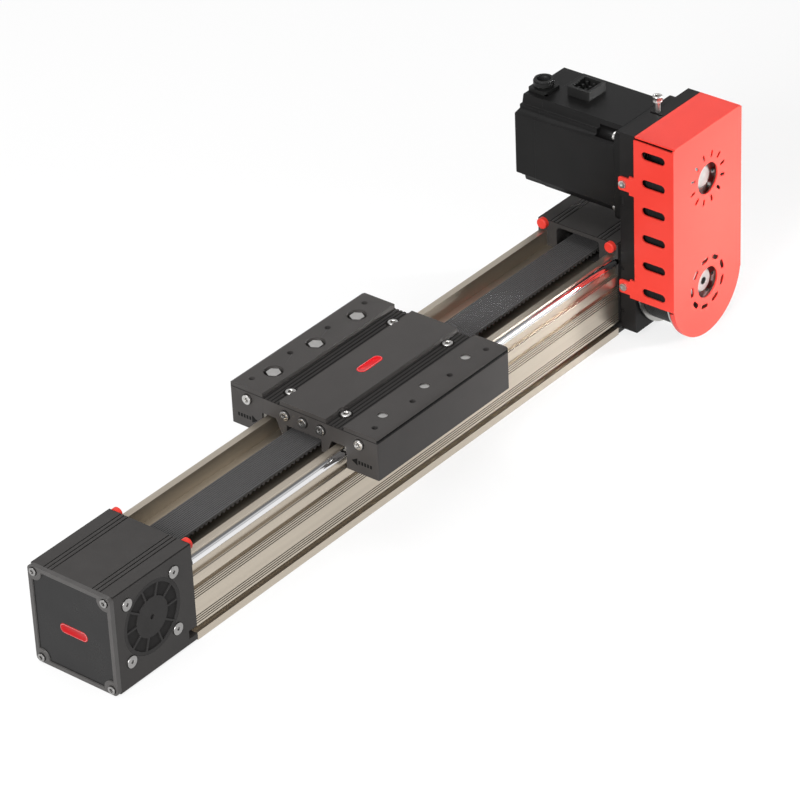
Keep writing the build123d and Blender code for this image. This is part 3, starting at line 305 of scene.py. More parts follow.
class Finish(Enum):
    """The finishes of the actuator's pieces."""

    BLACK_ANODISED = Surface(
        "black_anodised_satin", (0.026, 0.024, 0.023), (0.038, 0.035, 0.034),
        smooth=0.38, coarse=0.52, stretch=(60.0, 60.0, 60.0),
        relief=0.000012, relief_scale=2600.0, gloss=0.22)
    HOUSING_BLACK = Surface(
        "housing_black_anodised", (0.032, 0.030, 0.029), (0.047, 0.044, 0.0425),
        smooth=0.38, coarse=0.52, stretch=(60.0, 60.0, 60.0),
        relief=0.000012, relief_scale=2600.0, gloss=0.16,
        # Painted shade in the floors of the housing's top groove lines.
        painted_groove_shades=(PaintedGrooveShade({2: 84.4 * MM}, {2: 85.0 * MM}),))
    CARRIAGE_BLACK = Surface(
        "carriage_black_anodised", (0.038, 0.035, 0.0335), (0.053, 0.049, 0.047),
        smooth=0.38, coarse=0.52, stretch=(60.0, 60.0, 60.0),
        relief=0.000012, relief_scale=2600.0, gloss=0.22,
        # Painted shade in the carriage's groove floors; the last box is a painted shadow line at the
        # side seam below the top bevel.
        painted_groove_shades=(PaintedGrooveShade({2: 89.4 * MM}, {2: 90.0 * MM}, 0.8),
                  PaintedGrooveShade({2: 90.1 * MM}, {2: 90.4 * MM}, 0.5),
                  PaintedGrooveShade({1: 71.4 * MM, 2: 90.1 * MM}, {1: 72.6 * MM, 2: 92.4 * MM}, 0.97)))
    PLATE_BLACK = Surface(
        "plate_black_anodised", (0.007, 0.0065, 0.0065), (0.014, 0.013, 0.013),
        smooth=0.36, coarse=0.50, stretch=(60.0, 60.0, 60.0),
        relief=0.000010, relief_scale=2600.0, gloss=0.14)
    DARK_PANEL = Surface(
        "dark_panel_polished", (0.008, 0.008, 0.008), (0.018, 0.0175, 0.0175),
        smooth=0.20, coarse=0.32, stretch=(30.0, 30.0, 30.0),
        relief=0.000004, relief_scale=1500.0, gloss=0.22)
    RIM_GREY = Surface(
        "rim_machined_grey", (0.060, 0.057, 0.055), (0.085, 0.081, 0.079),
        metallic=0.3, smooth=0.30, coarse=0.44, stretch=(120.0, 120.0, 120.0),
        relief=0.000006, relief_scale=2400.0, gloss=0.4)
    CHAMPAGNE = Surface(
        "rail_champagne_anodised", (0.47, 0.415, 0.342), (0.58, 0.516, 0.428),
        metallic=0.92, smooth=0.25, coarse=0.38, stretch=(3.0, 260.0, 260.0),
        relief=0.000010, relief_scale=1800.0,
        # Painted shade in the floors of the rail's side rib grooves.
        painted_groove_shades=(PaintedGrooveShade({1: 39.40 * MM}, {1: 39.75 * MM}, 0.7),))
    CHROME = Surface(
        "rod_hard_chrome", (0.74, 0.74, 0.75), (0.84, 0.84, 0.85),
        metallic=1.0, smooth=0.07, coarse=0.10, stretch=(4.0, 60.0, 60.0),
        relief=0.0, relief_scale=900.0)
    BRIGHT_STEEL = Surface(
        "screw_bright_steel", (0.46, 0.45, 0.44), (0.64, 0.63, 0.61),
        metallic=1.0, smooth=0.22, coarse=0.40, stretch=(260.0, 260.0, 260.0),
        relief=0.000008, relief_scale=2200.0)
    GREY_STEEL = Surface(
        "screw_grey_steel", (0.27, 0.265, 0.26), (0.38, 0.373, 0.365),
        metallic=1.0, smooth=0.26, coarse=0.42, stretch=(260.0, 260.0, 260.0),
        relief=0.000008, relief_scale=2200.0)
    DARK_STEEL = Surface(
        "screw_dark_steel", (0.13, 0.127, 0.123), (0.22, 0.216, 0.21),
        metallic=1.0, smooth=0.22, coarse=0.40, stretch=(260.0, 260.0, 260.0),
        relief=0.000008, relief_scale=2200.0)
    GROUND_STEEL = Surface(
        "ground_steel", (0.40, 0.39, 0.38), (0.53, 0.52, 0.51),
        metallic=1.0, smooth=0.16, coarse=0.30, stretch=(150.0, 900.0, 150.0),
        relief=0.000005, relief_scale=2400.0)
    PULLEY = Surface(
        "pulley_machined", (0.42, 0.41, 0.39), (0.56, 0.55, 0.53),
        metallic=1.0, smooth=0.24, coarse=0.42, stretch=(180.0, 60.0, 180.0),
        relief=0.000006, relief_scale=2000.0)
    BELT = Surface(
        "belt_black_rubber", (0.050, 0.049, 0.049), (0.076, 0.074, 0.074),
        smooth=0.44, coarse=0.62, stretch=(90.0, 700.0, 90.0),
        relief=0.000018, relief_scale=3000.0, gloss=0.3,
        # Painted shade in the rib floors on the belt's back.
        painted_groove_shades=(PaintedGrooveShade({2: 59.4 * MM}, {2: 60.05 * MM}, 0.85),))
    CASE_BELT = Surface(
        "case_belt_black_rubber", (0.008, 0.008, 0.008), (0.018, 0.018, 0.018),
        smooth=0.46, coarse=0.66, stretch=(90.0, 700.0, 90.0),
        relief=0.000018, relief_scale=3000.0, gloss=0.2)
    RED_SHEET = Surface(
        "red_powder_coat", (0.70, 0.036, 0.024), (0.76, 0.048, 0.032),
        smooth=0.30, coarse=0.44, stretch=(25.0, 25.0, 25.0),
        relief=0.000014, relief_scale=1500.0, coat=0.06, gloss=0.4)
    RED_RUBBER = Surface(
        "red_moulded_stop", (0.60, 0.030, 0.020), (0.68, 0.042, 0.028),
        smooth=0.34, coarse=0.50, stretch=(120.0, 120.0, 120.0),
        relief=0.00001, relief_scale=2000.0, gloss=0.3)
    RED_INLAY = Surface(
        "red_gloss_inlay", (0.54, 0.004, 0.008), (0.62, 0.008, 0.012),
        smooth=0.16, coarse=0.26, stretch=(80.0, 80.0, 80.0),
        relief=0.000004, relief_scale=1200.0, gloss=0.15)
    # Copy of the red inlay painted darker, because the end face gets more light than the carriage top.
    END_INLAY_PAINTED_DARKER = Surface(
        "red_gloss_end_inlay_painted_darker", (0.36, 0.004, 0.006), (0.42, 0.007, 0.010),
        smooth=0.16, coarse=0.26, stretch=(80.0, 80.0, 80.0),
        relief=0.000004, relief_scale=1200.0, gloss=0.15)
    PALE_RIM = Surface(
        "inlay_pale_rim", (0.66, 0.24, 0.24), (0.74, 0.32, 0.32),
        metallic=0.2, smooth=0.20, coarse=0.30, stretch=(80.0, 80.0, 80.0),
        relief=0.000004, relief_scale=1200.0)
    MOTOR_BLACK = Surface(
        "motor_black_enamel", (0.0045, 0.0045, 0.0045), (0.0095, 0.009, 0.009),
        smooth=0.30, coarse=0.44, stretch=(35.0, 35.0, 35.0),
        relief=0.000014, relief_scale=1900.0, gloss=0.14)
    BLACK_PLASTIC = Surface(
        "black_moulded_plastic", (0.008, 0.008, 0.008), (0.015, 0.015, 0.0145),
        smooth=0.42, coarse=0.56, stretch=(90.0, 90.0, 90.0),
        relief=0.00002, relief_scale=2400.0, gloss=0.2)
    CAP_BLACK = Surface(
        "bearing_cap_black", (0.032, 0.0305, 0.030), (0.046, 0.0445, 0.044),
        smooth=0.34, coarse=0.48, stretch=(90.0, 90.0, 90.0),
        relief=0.000012, relief_scale=2400.0, gloss=0.06,
        # Painted shade on the floors of the cap's pockets.
        painted_groove_shades=(PaintedGrooveShade({1: 38.6 * MM}, {1: 39.9 * MM}, 0.4),))
    FELT = Surface(
        "oiled_felt", (0.10, 0.095, 0.085), (0.20, 0.19, 0.17),
        smooth=0.8, coarse=0.95, stretch=(900.0, 900.0, 900.0),
        relief=0.0001, relief_scale=3000.0)
    PRINT = Surface(
        "dark_print", (0.003, 0.003, 0.003), (0.006, 0.006, 0.006),
        smooth=0.5, coarse=0.6, stretch=(90.0, 90.0, 90.0),
        relief=0.000005, relief_scale=2000.0, gloss=0.1)


NODE_FINISH: dict[str, Finish] = {
    "rail_profile": Finish.CHAMPAGNE,
    "guide_rods": Finish.CHROME,
    "idler_bearings": Finish.GROUND_STEEL,
    "drive_bearings": Finish.GROUND_STEEL,
    "idler_pulley": Finish.PULLEY,
    "drive_pulley": Finish.PULLEY,
    "shaft_belt_pulley": Finish.PULLEY,
    "motor_belt_pulley": Finish.PULLEY,
    "shaft_clamp_ring": Finish.GROUND_STEEL,
    "motor_clamp_ring": Finish.GROUND_STEEL,
    "idler_shaft": Finish.GROUND_STEEL,
    "drive_shaft": Finish.BRIGHT_STEEL,
    "motor_shaft": Finish.BRIGHT_STEEL,
    "end_bumpers": Finish.RED_RUBBER,
    "rod_wipers": Finish.FELT,
    "roller_pins_left": Finish.BRIGHT_STEEL,
    "roller_pins_right": Finish.BRIGHT_STEEL,
    "belt_clamps": Finish.BLACK_ANODISED,
    "upper_tie_bolts": Finish.BRIGHT_STEEL,
    "housing_tie_bolts": Finish.BRIGHT_STEEL,
    "motor_square_socket": Finish.BLACK_PLASTIC,
}


def new_object(name: str, mesh: bpy.types.Mesh) -> bpy.types.Object:
    """Links a mesh into the scene at the origin.

    Args:
        name: The piece's name.
        mesh: Its mesh, already in place.

    Returns:
        The object.
    """
    made = bpy.data.objects.new(name, mesh)
    bpy.context.scene.collection.objects.link(made)
    return made


def shade(mesh: bpy.types.Mesh, angle: float = 35.0) -> None:
    """Smooths a mesh and keeps its corners sharp.

    Args:
        mesh: The mesh.
        angle: Edges steeper than this many degrees stay sharp.
    """
    mesh.polygons.foreach_set("use_smooth", [True] * len(mesh.polygons))
    mesh.set_sharp_from_angle(angle=math.radians(angle))


def place_piece(
    name: str, mesh: bpy.types.Mesh, finish: Finish, body: str, nodes: Sequence[str] = ()
) -> bpy.types.Object:
    """Makes a finished piece that rides on a body and may stand for CAD nodes.

    Args:
        name: The piece's name.
        mesh: Its mesh in the row frame.
        finish: Its finish.
        body: The body it rides on.
        nodes: CAD nodes that it replaces.

    Returns:
        The object.
    """
    mesh.materials.clear()
    mesh.materials.append(finish.value.material())
    made = new_object(name, mesh)
    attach(made, body)
    if nodes:
        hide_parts(*nodes)
    LOG.info("piece %s: %d faces", name, len(mesh.polygons))
    return made


def merged_copy(node: bpy.types.Object) -> bmesh.types.BMesh:
    """A CAD node's mesh with its loose triangles joined and flat areas dissolved.

    Args:
        node: The CAD object.

    Returns:
        The joined mesh.
    """
    work = bmesh.new()
    work.from_mesh(node.data)
    bmesh.ops.remove_doubles(work, verts=work.verts, dist=MERGE_DISTANCE)
    bmesh.ops.dissolve_limit(
        work, angle_limit=math.radians(FLAT_DEGREES), verts=work.verts, edges=work.edges
    )
    return work


@dataclass
class EdgedNode:
    """A CAD node with its sharp edges broken, as a machined or moulded piece has them."""

    node: str
    piece: str
    finish: Finish
    body: str = "frame"
    width: float = 0.3 * MM
    steps: int = 2
    narrow: float = 4.0
    short: float = 2.0
    corner: float = 40.0

    def broken(self, edge: bmesh.types.BMEdge) -> bool:
        """Whether an edge is broken: an outer corner between faces wide enough for it.

        Args:
            edge: The edge.

        Returns:
            True for an edge to bevel.
        """
        if len(edge.link_faces) != 2 or not edge.is_convex:
            return False
        length = edge.calc_length()
        if edge.calc_face_angle(0.0) < math.radians(self.corner) or length < self.short * self.width:
            return False
        return all(face.calc_area() / length > self.narrow * self.width for face in edge.link_faces)

    def build(self, frame: dict[str, Any], slots: dict[str, str]) -> None:
        """Copies the node, bevels it and lets it stand for the node.

        Args:
            slots: Material slot by CAD node; not used.
        """
        work = merged_copy(frame["nodes"][self.node])
        weights = work.edges.layers.float.new("bevel_weight_edge")
        for edge in work.edges:
            edge[weights] = 1.0 if self.broken(edge) else 0.0
        mesh = bpy.data.meshes.new(self.piece)
        work.to_mesh(mesh)
        work.free()
        shade(mesh)
        scratch = new_object(self.piece + "_scratch", mesh)
        bevel = scratch.modifiers.new("edges", "BEVEL")
        bevel.width = self.width
        bevel.segments = self.steps
        bevel.limit_method = "WEIGHT"
        bevel.use_clamp_overlap = True
        weighted = scratch.modifiers.new("normals", "WEIGHTED_NORMAL")
        weighted.keep_sharp = False
        result = evaluated_mesh(scratch)
        place_piece(self.piece, result, self.finish, self.body, [self.node])


def evaluated_mesh(scratch: bpy.types.Object) -> bpy.types.Mesh:
    """The mesh of an object with its modifiers applied; the object is removed.

    Args:
        scratch: The object.

    Returns:
        A plain mesh.
    """
    bpy.context.view_layer.update()
    graph = bpy.context.evaluated_depsgraph_get()
    mesh = bpy.data.meshes.new_from_object(scratch.evaluated_get(graph), depsgraph=graph)
    bpy.data.objects.remove(scratch)
    return mesh


@dataclass
class Repeater:
    """Geometry Nodes tree that sets one shape at many places, turned as each place says."""

    title: str = "repeated_shape"

    def tree(self) -> bpy.types.GeometryNodeTree:
        """The tree with its named inputs, made once.

        Returns:
            The node group.
        """
        known = bpy.data.node_groups.get(self.title)
        if known:
            return known
        group = bpy.data.node_groups.new(self.title, "GeometryNodeTree")
        face = group.interface
        face.new_socket("Places", in_out="INPUT", socket_type="NodeSocketGeometry")
        face.new_socket("Shape", in_out="INPUT", socket_type="NodeSocketObject")
        face.new_socket("Size", in_out="INPUT", socket_type="NodeSocketFloat")
        face.new_socket("Finish", in_out="INPUT", socket_type="NodeSocketMaterial")
        face.new_socket("Pieces", in_out="OUTPUT", socket_type="NodeSocketGeometry")
        nodes, links = group.nodes, group.links
        start = nodes.new("NodeGroupInput")
        end = nodes.new("NodeGroupOutput")
        shape = nodes.new("GeometryNodeObjectInfo")
        turn = nodes.new("GeometryNodeInputNamedAttribute")
        turn.data_type = "FLOAT_VECTOR"
        turn.inputs["Name"].default_value = "turn"
        rotation = nodes.new("FunctionNodeEulerToRotation")
        place = nodes.new("GeometryNodeInstanceOnPoints")
        solid = nodes.new("GeometryNodeRealizeInstances")
        dress = nodes.new("GeometryNodeSetMaterial")
        links.new(start.outputs["Shape"], shape.inputs["Object"])
        links.new(turn.outputs["Attribute"], rotation.inputs[0])
        links.new(start.outputs["Places"], place.inputs["Points"])
        links.new(shape.outputs["Geometry"], place.inputs["Instance"])
        links.new(rotation.outputs[0], place.inputs["Rotation"])
        links.new(start.outputs["Size"], place.inputs["Scale"])
        links.new(place.outputs["Instances"], solid.inputs["Geometry"])
        links.new(solid.outputs["Geometry"], dress.inputs["Geometry"])
        links.new(start.outputs["Finish"], dress.inputs["Material"])
        links.new(dress.outputs["Geometry"], end.inputs["Pieces"])
        return group

    def mesh(
        self, shape: bpy.types.Mesh, places: Sequence[tuple[Vector, Euler]], finish: Finish
    ) -> bpy.types.Mesh:
        """Sets the shape at every place.

        Args:
            shape: The mesh to repeat, round the origin.
            places: Position and turn of each copy.
            finish: The finish of all copies.

        Returns:
            One plain mesh of all copies.
        """
        source = new_object("shape_source", shape)
        points = bpy.data.meshes.new("places")
        points.from_pydata([tuple(p) for p, _ in places], [], [])
        turns = points.attributes.new("turn", "FLOAT_VECTOR", "POINT")
        turns.data.foreach_set("vector", [angle for _, turn in places for angle in turn])
        holder = new_object("places_holder", points)
        modifier = holder.modifiers.new("repeat", "NODES")
        modifier.node_group = self.tree()
        names = {item.name: item.identifier for item in modifier.node_group.interface.items_tree}
        modifier[names["Shape"]] = source
        modifier[names["Size"]] = 1.0
        modifier[names["Finish"]] = finish.value.material()
        result = evaluated_mesh(holder)
        bpy.data.objects.remove(source)
        return result


def turned_mesh(name: str, rings: Sequence[Sequence[Point]], close: bool = True) -> bpy.types.Mesh:
    """Skins rings of equal point count and closes both ends.

    Args:
        name: The mesh's name.
        rings: The rings in order.
        close: Whether the end rings get faces.

    Returns:
        The mesh.
    """
    work = bmesh.new()
    rows = [[work.verts.new(p) for p in ring] for ring in rings]
    count = len(rows[0])
    for a, b in zip(rows, rows[1:]):
        for i in range(count):
            j = (i + 1) % count
            work.faces.new((a[i], a[j], b[j], b[i]))
    if close:
        work.faces.new(rows[0][::-1])
        work.faces.new(rows[-1])
    bmesh.ops.remove_doubles(work, verts=work.verts, dist=WELD_DISTANCE)
    bmesh.ops.recalc_face_normals(work, faces=work.faces)
    mesh = bpy.data.meshes.new(name)
    work.to_mesh(mesh)
    work.free()
    return mesh


@dataclass
class CapScrew:
    """Socket head screw with a knurled head, its top at z 0 and its shank below."""

    head_radius: float
    head_height: float
    shank_radius: float
    length: float
    segments: int = 48
    knurl: float = 0.05 * MM
    socket: float = 0.5
    socket_lead: float = 0.06
    socket_depth: float = 0.6
    socket_end: tuple[float, float] = (0.2, 0.7)
    chamfer: float = 0.12
    chamfer_mid: tuple[float, float] = (0.35, 0.3)
    tip: tuple[float, float] = (0.85, 0.15)
    knurl_rings: tuple[float, float, float, float] = (0.4, 0.5, 1.4, 1.3)

    def hexagon(self, radius: float, angle: float) -> float:
        """Distance from the axis to a hexagon with that corner radius."""
        return radius * math.cos(math.pi / 6) / math.cos(angle % (math.pi / 3) - math.pi / 6)

    def mesh(self) -> bpy.types.Mesh:
        """The screw's mesh.

        Returns:
            A closed mesh.
        """
        rings: list[list[Point]] = []
        edge = self.chamfer * self.head_height
        foot, low_knurl, high_knurl, crown = (edge * share for share in self.knurl_rings)
        end_radius, end_depth = self.socket_end
        mid_in, mid_down = self.chamfer_mid
        tip_share, tip_rise = self.tip

        def ring(radius: Callable[[int, float], float], z: float) -> None:
            """Adds one ring of points.

            Args:
                radius: Radius by index and angle.
                z: Height.
            """
            points = []
            for i in range(self.segments):
                angle = 2 * math.pi * i / self.segments
                r = radius(i, angle)
                points.append((r * math.cos(angle), r * math.sin(angle), z))
            rings.append(points)

        low = -self.head_height - self.length
        ring(lambda i, a: self.shank_radius * tip_share, low)
        ring(lambda i, a: self.shank_radius, low + tip_rise * self.shank_radius)
        ring(lambda i, a: self.shank_radius, -self.head_height)
        ring(lambda i, a: self.head_radius, -self.head_height)
        ring(lambda i, a: self.head_radius, -self.head_height + foot)
        ring(lambda i, a: self.head_radius - self.knurl * (i % 2), -self.head_height + low_knurl)
        ring(lambda i, a: self.head_radius - self.knurl * (i % 2), -high_knurl)
        ring(lambda i, a: self.head_radius, -crown)
        ring(lambda i, a: self.head_radius, -edge)
        ring(lambda i, a: self.head_radius - edge * mid_in, -edge * mid_down)
        ring(lambda i, a: self.head_radius - edge, 0.0)
        ring(lambda i, a: self.hexagon(self.head_radius * (self.socket + self.socket_lead), a), 0.0)
        ring(lambda i, a: self.hexagon(self.head_radius * self.socket, a), -edge / 2)
        ring(lambda i, a: self.hexagon(self.head_radius * self.socket, a),
             -self.head_height * self.socket_depth)
        ring(lambda i, a: self.hexagon(self.head_radius * end_radius, a), -self.head_height * end_depth)
        return turned_mesh("cap_screw", rings)


def islands(node: bpy.types.Object) -> list[tuple[Vector, Vector]]:
    """Lowest and highest corner of each separate solid of a CAD node.

    Args:
        node: The CAD object.

    Returns:
        One pair of corners for each solid.
    """
    work = merged_copy(node)
    left = set(work.verts)
    boxes = []
    while left:
        stack = [left.pop()]
        low, high = stack[0].co.copy(), stack[0].co.copy()
        while stack:
            vert = stack.pop()
            for axis in range(3):
                low[axis] = min(low[axis], vert.co[axis])
                high[axis] = max(high[axis], vert.co[axis])
            for link in vert.link_edges:
                other = link.other_vert(vert)
                if other in left:
                    left.remove(other)
                    stack.append(other)
        boxes.append((low, high))
    work.free()
    return sorted(boxes, key=lambda pair: tuple(round(v, 5) for v in pair[0]))


@dataclass
class ScrewSet:
    """Every screw of one CAD node, found from its solids and made with real heads."""

    node: str
    axis: int
    body: str = "frame"
    outward: float = 0.0
    middle: float = 0.0
    head_share: float = 1.0
    socket: float = 0.5
    finish: Finish = Finish.BRIGHT_STEEL
    head_aspect: float = 0.83
    shank_gap: float = 0.1 * MM
    smooth_angle: float = 28.0

    def build(self, frame: dict[str, Any], repeater: Repeater) -> None:
        """Makes the screws and lets them stand for the node.

        Args:
            repeater: The tree that repeats a shape.
        """
        boxes = islands(frame["nodes"][self.node])
        across = (self.axis + 1) % 3
        low, high = boxes[0]
        radius = (high[across] - low[across]) / 2
        height = radius / self.head_aspect
        length = (high[self.axis] - low[self.axis]) - height
        screw = CapScrew(
            radius, height * self.head_share, height / 2 - self.shank_gap, length, socket=self.socket
        )
        lowered = height * (1.0 - self.head_share)
        places = []
        for low, high in boxes:
            centre = (low + high) / 2
            sign = self.outward or math.copysign(1.0, centre[self.axis] - self.middle)
            tip = centre.copy()
            tip[self.axis] = high[self.axis] if sign > 0 else low[self.axis]
            facing = Vector((0.0, 0.0, 0.0))
            facing[self.axis] = sign
            tip -= facing * lowered
            places.append((tip, facing.to_track_quat("Z", "Y").to_euler()))
        mesh = repeater.mesh(screw.mesh(), places, self.finish)
        shade(mesh, self.smooth_angle)
        place_piece(self.node + "_heads", mesh, self.finish, self.body, [self.node])


@dataclass
class ToothedBelt:
    """Closed toothed belt: a band with fine ribs on its back and teeth inside."""

    piece: str
    node: str
    teeth: int
    pitch: float
    span: float
    width: float
    line: float
    back: float
    tooth: float
    base: float
    centre: Point
    upright: bool
    ribs: int
    rib_height: float
    finish: Finish
    corner_drop: float = 0.25 * MM
    corner_in: float = 0.2 * MM
    margin: float = 0.8 * MM
    rib_cut: tuple[float, float, float, float] = (0.35, 0.42, 0.58, 0.65)
    waist: float = 0.82
    roundness: float = 0.7
    tooth_lap: float = 0.02 * MM
    tooth_steps: int = 6
    span_steps: int = 8
    arc_steps: int = 48
    smooth_angle: float = 30.0

    def radius(self) -> float:
        """Radius of the pitch line round both pulleys."""
        return (self.teeth * self.pitch - 2 * self.span) / (2 * math.pi)

    def point(self, s: float, out: float) -> tuple[float, float, float]:
        """Place in the loop's plane and the way out there.

        Args:
            s: Distance along the pitch line from the loop's start.
            out: Distance outside the pitch line.

        Returns:
            Along, up and the clockwise turn from straight up.
        """
        radius = self.radius()
        arc = math.pi * radius
        s %= 2 * self.span + 2 * arc
        r = radius + out
        if s <= self.span:
            return s, r, 0.0
        if s <= self.span + arc:
            turn = (s - self.span) / radius
            return self.span + r * math.sin(turn), r * math.cos(turn), turn
        if s <= 2 * self.span + arc:
            return self.span - (s - self.span - arc), -r, math.pi
        turn = (s - 2 * self.span - arc) / radius
        return -r * math.sin(turn), -r * math.cos(turn), math.pi + turn

    def world(self, s: float, out: float, y: float) -> Point:
        """A point of the belt in the row frame.

        Args:
            s: Distance along the pitch line.
            out: Distance outside it.
            y: Place across the belt from its middle.

        Returns:
            The point.
        """
        along, up, _ = self.point(s, out)
        x, mid, z = self.centre
        if self.upright:
            return x - up, mid + y, z + along
        return x + along, mid + y, z + up

    def section(self) -> list[tuple[float, float]]:
        """Corners of the band's cross-section, with the ribs on its back.

        Returns:
            Across and out of each corner.
        """
        half = self.width / 2
        inner = -self.line
        lowered, floor = self.back - self.corner_drop, self.back - self.rib_height
        corners = [(-half, inner), (-half, lowered), (-half + self.corner_in, self.back)]
        step = (self.width - 2 * self.margin) / self.ribs
        for i in range(self.ribs):
            y = -half + self.margin + i * step
            a, b, c, d = (y + share * step for share in self.rib_cut)
            corners += [(a, self.back), (b, floor), (c, floor), (d, self.back)]
        corners += [(half - self.corner_in, self.back), (half, lowered), (half, inner)]
        return corners

    def stations(self) -> list[float]:
        """Where the band has a ring, close together on the arcs.

        Returns:
            Distances along the loop.
        """
        arc = math.pi * self.radius()
        places: list[float] = []
        for start, length, count in (
            (0.0, self.span, self.span_steps),
            (self.span, arc, self.arc_steps),
            (self.span + arc, self.span, self.span_steps),
            (2 * self.span + arc, arc, self.arc_steps),
        ):
            places += [start + length * i / count for i in range(count)]
        return places

    def tooth_mesh(self) -> bpy.types.Mesh:
        """One rounded tooth, hanging below the origin, across the belt along Y.

        Returns:
            A closed mesh.
        """
        profile = []
        half = self.base / 2
        for i in range(self.tooth_steps + 1):
            angle = math.pi * i / self.tooth_steps
            x = half * math.cos(angle) * (self.waist + (1.0 - self.waist) * abs(math.cos(angle)))
            drop = self.tooth * math.sin(angle) ** self.roundness
            profile.append((x, -drop if 0 < i < self.tooth_steps else self.tooth_lap))
        rings = [[(x, y, z) for x, z in profile] for y in (-self.width / 2, self.width / 2)]
        return turned_mesh("belt_tooth", rings)

    def build(self, repeater: Repeater) -> None:
        """Makes band and teeth and lets them stand for the CAD belt.

        Args:
            repeater: The tree that repeats a shape.
        """
        rings = [[self.world(s, out, y) for y, out in self.section()] for s in self.stations()]
        band = turned_mesh(self.piece, rings + rings[:1], close=False)
        work = bmesh.new()
        work.from_mesh(band)
        places = []
        for i in range(self.teeth):
            s = i * self.pitch
            _, _, turn = self.point(s, 0.0)
            spot = Vector(self.world(s, -self.line, 0.0))
            spin = turn - math.pi / 2 if self.upright else turn
            places.append((spot, Euler((0.0, spin, 0.0))))
        teeth = repeater.mesh(self.tooth_mesh(), places, self.finish)
        work.from_mesh(teeth)
        bmesh.ops.recalc_face_normals(work, faces=work.faces)
        mesh = bpy.data.meshes.new(self.piece)
        work.to_mesh(mesh)
        work.free()
        shade(mesh, self.smooth_angle)
        place_piece(self.piece, mesh, self.finish, "frame", [self.node])


@dataclass
class Inlay:
    """Plain capsule with a thin pale rim line, blank inside."""

    piece: str
    node: str
    body: str
    centre: Point
    length: float
    width: float
    facing: str
    rise: float = 0.25 * MM
    finish: Finish = Finish.RED_INLAY
    depth: float = 0.6 * MM
    side: float = 0.05 * MM
    shoulder: float = 0.35 * MM
    lip: float = 1.0 * MM
    bed: float = 1.15 * MM
    bed_drop: float = 0.08 * MM
    line_outer: float = 0.62 * MM
    line_inner: float = 0.86 * MM
    line_foot: float = 0.05 * MM
    line_top: float = 0.03 * MM

    def outline(self, inset: float, count: int = 12) -> list[tuple[float, float]]:
        """Capsule outline, a distance inside its edge.

        Args:
            inset: The distance.
            count: Steps on each end's half circle.

        Returns:
            Points along and across.
        """
        radius = self.width / 2 - inset
        reach = self.length / 2 - self.width / 2
        points = []
        for side, start in ((1, -math.pi / 2), (-1, math.pi / 2)):
            for i in range(count + 1):
                angle = start + math.pi * i / count
                points.append((side * reach + radius * math.cos(angle), radius * math.sin(angle)))
        return points

    def rings(self, levels: Iterable[tuple[float, float]]) -> list[list[Point]]:
        """Rings in the row frame.

        Args:
            levels: Inset and height of each ring.

        Returns:
            The rings.
        """
        x, y, z = self.centre
        made = []
        for inset, height in levels:
            if self.facing == "top":
                made.append([(x + a, y + b, z + height) for a, b in self.outline(inset)])
            else:
                made.append([(x - height, y + a, z + b) for a, b in self.outline(inset)])
        return made

    def build(self) -> None:
        """Makes the capsule and its rim line."""
        body = self.rings([(self.side, -self.depth), (self.side, 0.0), (self.shoulder, self.rise),
                           (self.lip, self.rise), (self.bed, self.rise - self.bed_drop)])
        mesh = turned_mesh(self.piece, body)
        shade(mesh)
        place_piece(self.piece, mesh, self.finish, self.body, [self.node])
        foot, top = self.rise - self.line_foot, self.rise + self.line_top
        line = self.rings([(self.line_outer, foot), (self.line_outer, top),
                           (self.line_inner, top), (self.line_inner, foot)])
        edge = turned_mesh(self.piece + "_rim", line + line[:1], close=False)
        place_piece(self.piece + "_rim", edge, Finish.PALE_RIM, self.body)


@dataclass
class PanelSkin:
    """Thin polished sheet on the sunk floor of an end cover, inside its raised rim."""

    piece: str
    node: str
    level: float
    outward: float
    thickness: float = 0.15 * MM
    slack: float = 0.02 * MM
    tilt: float = 0.01

    def build(self, frame: dict[str, Any]) -> None:
        """Copies the floor's faces, gives them a thickness and a dark finish.
        """
        work = merged_copy(frame["nodes"][self.node])
        away = [
            face for face in work.faces
            if abs(face.normal.x * self.outward - 1.0) > self.tilt
            or any(abs(vert.co.x - self.level) > self.slack for vert in face.verts)
        ]
        bmesh.ops.delete(work, geom=away, context="FACES")
        grown = bmesh.ops.extrude_face_region(work, geom=list(work.faces), use_keep_orig=True)
        for item in grown["geom"]:
            if isinstance(item, bmesh.types.BMVert):
                item.co.x += self.outward * self.thickness
        bmesh.ops.recalc_face_normals(work, faces=work.faces)
        mesh = bpy.data.meshes.new(self.piece)
        work.to_mesh(mesh)
        work.free()
        place_piece(self.piece, mesh, Finish.DARK_PANEL, "frame")


@dataclass
class FlowArrow:
    """Dashed arrow without words, printed on a carriage end."""

    piece: str
    x: float
    y: float
    z: float
    outward: float
    towards: float
    dash: float = 1.7 * MM
    gap: float = 2.8 * MM
    height: float = 3.0 * MM
    count: int = 5
    head_length: float = 4.6 * MM
    head_half: float = 3.2 * MM
    thickness: float = 0.12 * MM

    def build(self, repeater: Repeater) -> None:
        """Makes the head and its dashes.

        Args:
            repeater: The tree that repeats a shape.
        """
        half = self.height / 2
        x0, x1 = sorted((self.x, self.x + self.outward * self.thickness))
        dash = turned_mesh("arrow_dash", [
            [(x, -self.dash / 2, -half), (x, self.dash / 2, -half),
             (x, self.dash / 2, half), (x, -self.dash / 2, half)]
            for x in (x0, x1)
        ])
        places = [
            (Vector((0.0, self.y - self.towards * self.gap * (i + 1), self.z)), Euler((0.0, 0.0, 0.0)))
            for i in range(self.count)
        ]
        mesh = repeater.mesh(dash, places, Finish.PRINT)
        tip = self.y + self.towards * self.head_length
        base = self.y - self.towards * self.dash / 2
        head = turned_mesh("arrow_head", [
            [(x, tip, self.z), (x, base, self.z + self.head_half), (x, base, self.z - self.head_half)]
            for x in (x0, x1)
        ])
        work = bmesh.new()
        work.from_mesh(mesh)
        work.from_mesh(head)
        whole = bpy.data.meshes.new(self.piece)
        work.to_mesh(whole)
        work.free()
        place_piece(self.piece, whole, Finish.PRINT, "carriage")


